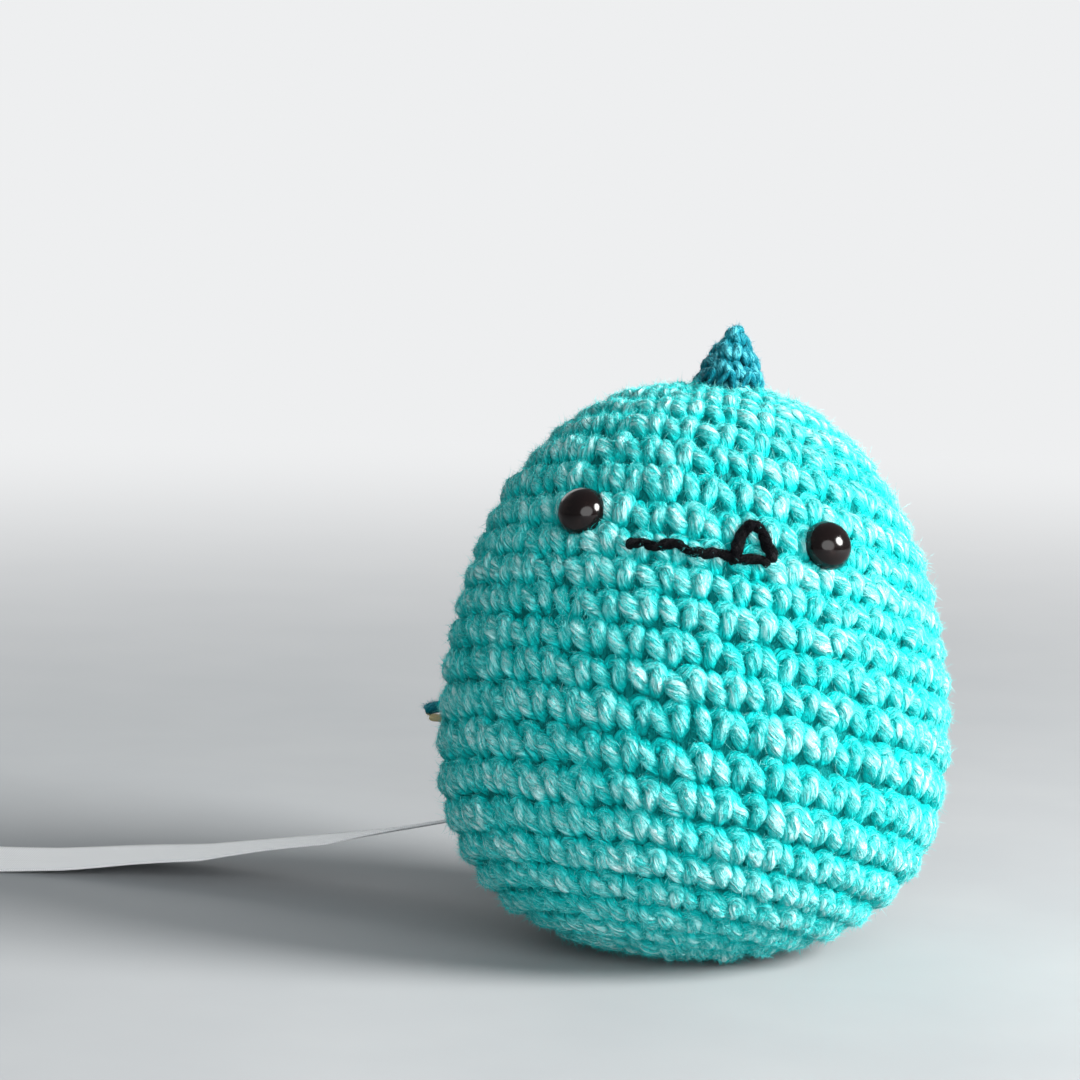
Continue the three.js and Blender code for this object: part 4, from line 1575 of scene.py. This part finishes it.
@dataclass
class SpikeRow:
    """Teal spikes down the back, crocheted one by one and whipped to the cover.

    Attributes:
        form: the body.
        height: of a full-size spike.
        radius: at its foot.
        gap: between two feet along the back.
        advance: from the crown of the rounds to the first spike, towards the face.
        sizes: of the spikes, from the face's side on.
        yarn: teal yarn of the rounds.
        tension: how evenly they are worked.
        fuzz: its loose fibres.
        fuzz_density: fibres on one stitch.
        core_depth: how deep the layer inside a spike lies.
        core_sunk: the same in yarn radii, for its painted shade.
        core_grid: its rings, and the places in a ring.
        seam_yarn: yarn of the whip stitches.
        whips: stitches round a spike.
        whip_low: height of their lower turns.
        whip_rise: from there to their upper turns.
        hollow: radius of the body's curve under the seam.
    """

    form: EggForm
    height: float = 13 * MM
    radius: float = 7 * MM
    gap: float = 4.4 * MM
    advance: float = 8 * MM
    sizes: Tuple[SpikeSize, ...] = (
        SpikeSize(0.74, 0.6, 0.0, (9, 7, 6, 4)),
        SpikeSize(1.0, 1.0, 0.16, (15, 13, 11, 8, 5)),
        SpikeSize(1.0, 1.0, -0.1, (15, 13, 11, 8, 5)),
        SpikeSize(0.88, 0.86, 0.08, (13, 11, 8, 5)),
        SpikeSize(0.7, 0.68, 0.0, (10, 8, 6, 4)),
    )
    yarn: Yarn = Yarn(0.7 * MM, plies=4, groove=0.18, lay=7 * MM, sides=12)
    tension: Tension = Tension(0.06, 0.05, 0.14, 0.1, 0.14)
    fuzz: Fuzz = Fuzz(1.6 * MM)
    fuzz_density: int = 80
    core_depth: float = 1.2 * MM
    core_sunk: float = 2.3
    core_grid: Tuple[int, int] = (18, 32)
    seam_yarn: Yarn = Yarn(0.6 * MM, plies=4, groove=0.16, lay=6 * MM, sides=12)
    whips: int = 7
    whip_low: float = -1.0 * MM
    whip_rise: float = 3.2 * MM
    hollow: float = 30 * MM

    def frames(self) -> List[Array]:
        """Finds the place of each spike.

        Returns:
            A matrix for each: origin on the cover, X axis across the back, Z axis out.
        """
        back, zero = self.form.turn + math.pi, np.array([0.0])
        fine = np.linspace(-1, math.pi, 2400)
        points, _ = self.form.place(fine, np.full(len(fine), back), np.zeros(len(fine)))
        length = walked(points)
        length -= np.interp(0.0, fine, length)
        level = self.form.direction(np.array(math.pi / 2), np.array(self.form.turn - math.pi / 2))
        centre = np.array((0, 0, self.form.centre))
        made, place, last = [], -self.advance, None
        for size in self.sizes:
            if last is not None:
                place += self.radius * (size.radius + last.radius) + self.gap
            last = size
            polar = np.interp(place, length, fine)
            point, _ = self.form.place(np.array([polar]), np.array([back]), zero)
            aside = point + level * size.side * self.radius - centre
            (point,), (out,) = self.form.along(unit(aside), zero)
            made.append(standing(point, out, level))
        return made

    def build(self) -> None:
        """Makes each spike with its core, its seam and its fuzz."""
        material, fuzz = TEAL.material(), TEAL_FUZZ.material()
        for i, (frame, size) in enumerate(zip(self.frames(), self.sizes)):
            name = f"spike_{i + 1}"
            radius, height = self.radius * size.radius, self.height * size.height
            fabric = SpikeFabric(frame, radius, height, size.stitches)
            crochet = Crochet(fabric, self.yarn, self.tension, drift=0.3, start=0.4 * i, seed=31 + i)
            shape, nap = crochet.piece(crochet.spiral(), 0)
            shape.piece(f"{name}_rounds", material, "teal_yarn", name)
            fibres = nap.fibres(sum(size.stitches) * self.fuzz_density, self.fuzz, 60 + i)
            fibres.piece(f"{name}_fuzz", fuzz, "teal_yarn")
            self._core(fabric).piece(f"{name}_core", material, "teal_yarn", name)
            self._seam(fabric).piece(f"{name}_whipping", material, "teal_yarn", f"{name}_seam")

    def _core(self, fabric: SpikeFabric) -> Shape:
        """Makes the layer inside a spike that closes the hollows between its stitches and carries
        painted shade there.

        Args:
            fabric: the spike's rounds.

        Returns:
            The layer.
        """
        rows, columns = self.core_grid
        rounds, turns = every_pair(np.linspace(0, len(fabric.stitches), rows)[::-1],
                                   np.linspace(0, TURN, columns, endpoint=False))
        points, _ = fabric.place(rounds, turns, np.full(len(rounds), self.core_depth))
        return inner_layer(points, columns, np.full(len(points), self.core_sunk))

    def _seam(self, fabric: SpikeFabric) -> Shape:
        """Lays the whip stitches round a spike's foot.

        Args:
            fabric: the spike's rounds.

        Returns:
            Their yarn.
        """
        turn = np.linspace(0.12, TURN - 0.12, 220)
        climb = (1 - np.cos(self.whips * turn)) / 2
        level = self.whip_low + self.whip_rise * climb
        flank = np.interp(np.maximum(level, 0), fabric.levels, fabric.radii)
        out = flank + self.seam_yarn.radius * (0.2 + 1.1 * (1 - climb))
        slant = turn + 0.22 * climb
        sink = out ** 2 / (2 * self.hollow)
        own = np.stack([out * np.cos(slant), out * np.sin(slant), level - sink], -1)
        path = own @ fabric.frame[:3, :3].T + fabric.frame[:3, 3]
        outward = np.tile(fabric.frame[:3, 2], (len(path), 1))
        calm = np.full(len(path), 0.4)
        # Deeper at the lower turns, where they dive into the cover, for painted shade there
        return self.seam_yarn.tube(path, outward, 0.92 + 0.14 * climb, calm, 2 - 1.2 * climb)


@dataclass(frozen=True)
class LooseEnd:
    """One short length of yarn that leaves the cover and frays at its tip.

    Attributes:
        name: of its piece.
        node: that it replaces.
        slot: material slot.
        finish: of the yarn.
        fibre_finish: of its loose fibres.
        yarn: what it is.
        level: height at which it leaves the cover.
        reach: how far it stands out.
        droop: half the height in millimetres that its tip rises by.
    """

    name: str
    node: str
    slot: str
    finish: YarnFinish
    fibre_finish: FibreFinish
    yarn: Yarn
    level: float
    reach: float
    droop: float


@dataclass
class LooseEnds:
    """Ends of yarn and thread that leave the cover at the left, and the knot inside.

    Attributes:
        form: the body.
        nodes: the frame's pieces, for the knot.
        turn: azimuth of both ends in the room.
        root: length that runs inside the cover.
        fuzz: their loose fibres.
        fibres: how many on each.
        ends: teal yarn and, under it, cream thread.
    """

    form: EggForm
    nodes: Dict[str, bpy.types.Object]
    turn: float = math.radians(-99)
    root: float = 3 * MM
    fuzz: Fuzz = Fuzz(1.3 * MM, loose=0.5)
    fibres: int = 500
    ends: Tuple[LooseEnd, ...] = (
        LooseEnd("teal_end_yarn", "teal_yarn_end", "teal_yarn", TEAL, TEAL_FUZZ,
                 Yarn(0.9 * MM, lay=8 * MM), 37.6 * MM, 3.2 * MM, -0.5),
        LooseEnd("cream_end_thread", "cream_thread_end", "cream_thread", CREAM, CREAM_FUZZ,
                 Yarn(0.55 * MM, plies=3, lay=4 * MM), 35 * MM, 2.4 * MM, 0.25),
    )

    def build(self) -> None:
        """Makes both ends and dresses the knot."""
        for end in self.ends:
            self._end(end)
        dress(self.nodes["closing_knot"], AQUA.material())

    def _end(self, end: LooseEnd) -> None:
        """Makes one end and its loose fibres.

        Args:
            end: which.
        """
        t = np.linspace(0, 1, 26)
        out = np.array((math.sin(self.turn), -math.cos(self.turn), 0.0))
        base = out * float(self.form.half_width(np.array(end.level))) + (0, 0, end.level)
        path = base + out * (t[:, None] * (end.reach + self.root) - self.root)
        path[:, 2] += end.droop * MM * t ** 2 * 2
        path[:, 1] += 0.4 * MM * np.sin(t * 3)
        flare = np.where(t > 0.75, 1 + (t - 0.75) * 0.8, 1.0)
        full = flare * np.sqrt(np.clip((1.04 - t) * 8, 0.2, 1))
        up = np.tile((0.0, 0.0, 1.0), (len(t), 1))
        shape = end.yarn.tube(path, up, full, t * 0 + 0.6, t * 0 + 0.8)
        shape.piece(end.name, end.finish.material(), end.slot, end.node)
        outer = t > 0.45
        nap = Nap(path[outer], up[outer], end.yarn.radius * full[outer], np.ones(outer.sum()))
        fibres = nap.fibres(self.fibres, self.fuzz, len(end.name))
        fibres.piece(f"{end.name}_fuzz", end.fibre_finish.material(), end.slot)


@dataclass
class CareLabel:
    """Plain woven label: a ribbon that leaves the lower back and comes down to the floor.

    Attributes:
        form: the body that it is sewn to.
        width: of the ribbon.
        reach: along the floor plan from the body.
        thickness: of the ribbon.
        sewn: height of its sewn end.
        gap: between the body and that end.
        turn: azimuth of its sewn end.
        end_heading: direction of its far end in the floor plan.
        lift_power: how quickly it comes down.
        twist: how far it is twisted at its sewn end.
        solid_half: half the thickness of the solid that it stands for.
        clearance: how far it is kept above the floor.
        bend: length over which it bends when it is lifted; not used.
        grid: places along it and across it.
        curl: height of its curled edges, and their length along it.
        ripple: height of its waves, and their length.
        calm: length of its far end over which both fade out.
        selvedge: extra thickness of its woven edges.
        stitches: of the sewing thread.
        thread: that thread.
        thread_width: how far it runs across.
    """

    form: EggForm
    width: float = 20 * MM
    reach: float = 97 * MM
    thickness: float = 0.28 * MM
    sewn: float = 16.5 * MM
    gap: float = 0.3 * MM
    turn: float = math.radians(-122)
    end_heading: float = math.radians(2)
    lift_power: float = 1.8
    twist: float = math.radians(5)
    solid_half: float = 0.25 * MM
    clearance: float = 0.12 * MM
    bend: float = 16 * MM
    grid: Tuple[int, int] = (120, 17)
    curl: Tuple[float, float] = (0.35 * MM, 9 * MM)
    ripple: Tuple[float, float] = (0.12 * MM, 6.5 * MM)
    calm: float = 30 * MM
    selvedge: float = 0.5
    stitches: int = 9
    thread: Yarn = Yarn(0.22 * MM, plies=3, groove=0.16, lay=1.6 * MM, sides=10)
    thread_width: float = 17.6 * MM

    def stations(self, count: int) -> Tuple[Array, Array, Array, Array]:
        """Middle line of the ribbon and its directions.

        Args:
            count: places along it.

        Returns:
            Places, directions along, across and out of its face.
        """
        out = np.array((math.sin(self.turn), -math.cos(self.turn)))
        root = out * (float(self.form.half_width(np.array(self.sewn))) + self.gap)
        share = np.linspace(0, 1, count)
        start = math.atan2(root[1], -root[0])
        heading = start + (self.end_heading - start) * share
        steps = np.diff(share)[:, None] * self.reach
        middle = (heading[1:] + heading[:-1]) / 2
        plan = np.stack([-np.cos(middle), np.sin(middle)], -1) * steps
        plan = np.concatenate([[root], root + np.cumsum(plan, axis=0)])
        drop = self.sewn - self.solid_half
        level = self.solid_half + drop * (1 - share) ** self.lift_power
        place = np.concatenate([plan, level[:, None]], 1)
        along = unit(np.gradient(place, axis=0))
        level_way = np.stack([np.sin(heading), np.cos(heading), 0 * heading], -1)
        twist = (self.twist * (1 - share))[:, None]
        across = level_way * np.cos(twist) + np.cross(along, level_way) * np.sin(twist)
        face = unit(np.cross(across, along))
        face = np.where(face[:, 2:3] < 0, -face, face)
        return place, along, across, face

    def build(self) -> None:
        """Makes the ribbon and the thread that holds it."""
        rows, columns = self.grid
        place, along, across, face = self.stations(rows)
        share = np.linspace(-0.5, 0.5, columns)
        length = walked(place)
        (rise, run), (wave, period) = self.curl, self.ripple
        curl = rise * (2 * share[None, :]) ** 4 * np.sin(length[:, None] / run)
        curl = curl + wave * np.sin(length[:, None] / period + share[None, :] * 3)
        fade = np.clip((length[-1] - length) / self.calm, 0.15, 1)[:, None]
        middle = place[:, None] + across[:, None] * share[None, :, None] * self.width
        middle = middle + face[:, None] * (np.abs(curl) * fade)[..., None]
        edge = 1 + self.selvedge * (np.abs(share) > 0.44)
        half = face[:, None] * (self.thickness / 2 * edge)[None, :, None]
        lift = (0, 0, self.thickness / 2 - self.solid_half + self.clearance)
        shape = slab(middle + half + lift, middle - half + lift, share * self.width, length)
        root, way, finish = place[0], along[0], SATIN.material()
        ribbon = shape.piece("label_ribbon", finish, "label_satin", "care_label", body=None)
        shape, finish = self._thread(root, way, across[0], face[0]), THREAD.material()
        thread = shape.piece("label_thread", finish, "label_thread", "label_stitches", body=None)
        for piece in (ribbon, thread):
            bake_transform(piece)
        log.info("label_ribbon: %.1f mm long", length[-1] / MM)

    def _thread(self, root: Array, along: Array, across: Array, face: Array) -> Shape:
        """Lays a zigzag of sewing thread across the sewn end.

        Args:
            root: middle of the sewn end.
            along: direction of the ribbon there.
            across: direction across it.
            face: direction out of its face.

        Returns:
            The thread.
        """
        t = np.linspace(0, 1, 160)
        zig = 1 - np.abs((t * self.stitches) % 2 - 1)
        up = 0.42 - 0.22 * np.cos(TURN * t * self.stitches)
        path = (root + across * ((t - 0.5) * self.thread_width)[:, None]
                + along * ((1.2 + 2 * zig) * MM)[:, None] + face * (up * MM)[:, None])
        calm = np.full(len(t), 0.6)
        return self.thread.tube(path, np.tile(face, (len(t), 1)), calm * 0 + 1, calm, calm)


def slab(top: Array, low: Array, across: Array, along: Array) -> Shape:
    """A thin closed sheet between two grids of points.

    Args:
        top: upper points, row and column.
        low: lower points.
        across: place of each column.
        along: place of each row.

    Returns:
        The sheet.
    """
    rows, columns = top.shape[:2]
    number = np.arange(rows * columns).reshape(rows, columns)
    a, b, c, d = number[:-1, :-1], number[:-1, 1:], number[1:, 1:], number[1:, :-1]
    upper = np.stack([a, b, c, d], -1).reshape(-1, 4)
    rim = np.concatenate([number[0, :], number[1:, -1], number[-1, -2::-1], number[-2:0:-1, 0]])
    turn = np.roll(rim, -1)
    lower = upper[:, ::-1] + rows * columns
    wall = np.stack([rim, rim + rows * columns, turn + rows * columns, turn], -1)
    points = np.concatenate([top.reshape(-1, 3), low.reshape(-1, 3)])
    space = np.stack(np.broadcast_arrays(across[None, :], along[:, None], 0.0), -1).reshape(-1, 3)
    down, right = every_pair(np.linspace(0, 0.98, rows), np.linspace(0, 0.46, columns))
    sheet = np.stack([right, down], -1)
    quads = np.concatenate([upper, lower, wall])
    uv = np.concatenate([sheet, sheet + (0.5, 0)])[quads]
    uv[-len(wall):] = (0.97, 0.01)
    return Shape(points, quads, quad_uv=uv, values={YARN_SPACE: np.concatenate([space, space])})


@dataclass(frozen=True)
class Lamp:
    """One soft box.

    Attributes:
        name: of the lamp.
        place: where it hangs.
        target: what it points at.
        size: its width and height.
        power: in watts.
        colour: of its light.
    """

    name: str
    place: Triple
    target: Triple
    size: Tuple[float, float]
    power: float
    colour: Triple

    def build(self) -> None:
        """Hangs the lamp."""
        data = bpy.data.lights.new(self.name, "AREA")
        data.shape = "ELLIPSE"
        data.size, data.size_y = self.size
        data.energy = self.power
        data.color = self.colour
        lamp = bpy.data.objects.new(self.name, data)
        bpy.context.scene.collection.objects.link(lamp)
        way = Vector(self.place) - Vector(self.target)
        lamp.rotation_euler = way.to_track_quat("Z", "Y").to_euler()
        lamp.location = self.place


@dataclass
class Studio:
    """Camera, lamps, floor and backdrop.

    Attributes:
        focal_pixels: focal length over the picture's width in pixels.
        picture: that width.
        sensor: width of the camera's sensor in millimetres.
        pitch: how far the camera looks down.
        roll: how far it is turned about its own line of sight.
        place: where it stands.
        sky: strength of the even light from all round.
        lamps: the window and two large soft boxes.
    """

    focal_pixels: float = 4250.0
    picture: float = 1080.0
    sensor: float = 36.0
    pitch: float = math.radians(7.6)
    roll: float = math.radians(1.5)
    place: Triple = (-26.3 * MM, -696.8 * MM, 159.9 * MM)
    sky: float = 0.32
    lamps: Tuple[Lamp, ...] = (
        Lamp("window_light", (0.70, -0.26, 0.42), (0.0, 0.0, 0.045), (0.42, 0.40), 21.0,
             (1.0, 0.99, 0.97)),
        Lamp("front_light", (0.20, -1.00, 0.34), (0.0, 0.0, 0.04), (1.10, 0.85), 11.0,
             (0.99, 1.0, 1.0)),
        Lamp("back_light", (-0.30, 1.00, 0.50), (0.0, 0.0, 0.045), (0.90, 0.70), 3.0,
             (1.0, 1.0, 0.99)),
    )

    def build(self) -> None:
        """Makes everything around the toy."""
        bpy.context.scene.view_settings.view_transform = "Standard"
        self._camera()
        self._floor()
        self._world()
        for lamp in self.lamps:
            lamp.build()

    def _camera(self) -> None:
        """Sets up the camera at the photograph's angle."""
        data = bpy.data.cameras.new("camera")
        data.sensor_width = self.sensor
        data.lens = self.focal_pixels / self.picture * self.sensor
        data.clip_start = 0.01
        camera = bpy.data.objects.new("camera", data)
        bpy.context.scene.collection.objects.link(camera)
        down = Matrix.Rotation(math.pi / 2 - self.pitch, 4, "X")
        turn = down @ Matrix.Rotation(self.roll, 4, "Z")
        camera.matrix_world = Matrix.Translation(self.place) @ turn
        bpy.context.scene.camera = camera

    @staticmethod
    def _floor() -> None:
        """Lays a pale floor that takes a soft shadow and is white to the camera far away."""
        bpy.ops.mesh.primitive_plane_add(size=6.0, location=(0, 0, 0))
        floor = bpy.context.object
        floor.name = "floor"
        shader = Shader("floor_paint")
        place = shader.node("ShaderNodeTexCoord", {}, {}, "Object")
        colour = shader.blend(shader.noise(place, 22.0, 3.0), *map(linear, FLOOR))
        shader.set({"Base Color": colour, "Roughness": 0.75, "Specular IOR Level": 0.2})
        away = shader.node("ShaderNodeVectorMath", {"operation": "LENGTH"}, {0: place}, "Value")
        seen = shader.node("ShaderNodeLightPath", {}, {}, "Is Camera Ray")
        glow = shader.node("ShaderNodeEmission", {}, {"Color": linear(BACKDROP)})
        paint = Term(shader, shader.surface.outputs[0])
        inputs = {0: shader.ridge(away, 0.16, 0.75) * seen, 1: paint, 2: glow}
        shader.feed(shader.end.inputs[0], shader.node("ShaderNodeMixShader", {}, inputs))
        floor.data.materials.append(shader.material)

    def _world(self) -> None:
        """Makes even pale surroundings that are plain to the camera."""
        world = bpy.data.worlds.new("surroundings")
        world.use_nodes = True
        tree = Nodes(world.node_tree, "ShaderNodeOutputWorld")
        lit, plain = (tree.node("ShaderNodeBackground", {}, {0: linear(colour), 1: strength})
                      for colour, strength in ((SKY, self.sky), (BACKDROP, 1.0)))
        seen = tree.node("ShaderNodeLightPath", {}, {}, "Is Camera Ray")
        mixed = tree.node("ShaderNodeMixShader", {}, {0: seen, 1: lit, 2: plain})
        tree.feed(tree.end.inputs[0], mixed)
        bpy.context.scene.world = world


def main() -> None:
    """Builds the toy around the frame, with its surroundings."""
    logging.basicConfig(level=logging.INFO, format="%(name)s: %(message)s")
    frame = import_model()
    low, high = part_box("body_cover")
    form = EggForm(radius=max(high.x, high.y, -low.x, -low.y), height=high.z)
    nodes = frame["nodes"]
    for part in (Studio(), Cover(form), Filling(form), Eyes(form, nodes), Face(form),
                 SpikeRow(form), LooseEnds(form, nodes), CareLabel(form)):
        part.build()
        log.info("built %s", type(part).__name__)


if __name__ == "__main__":
    main()
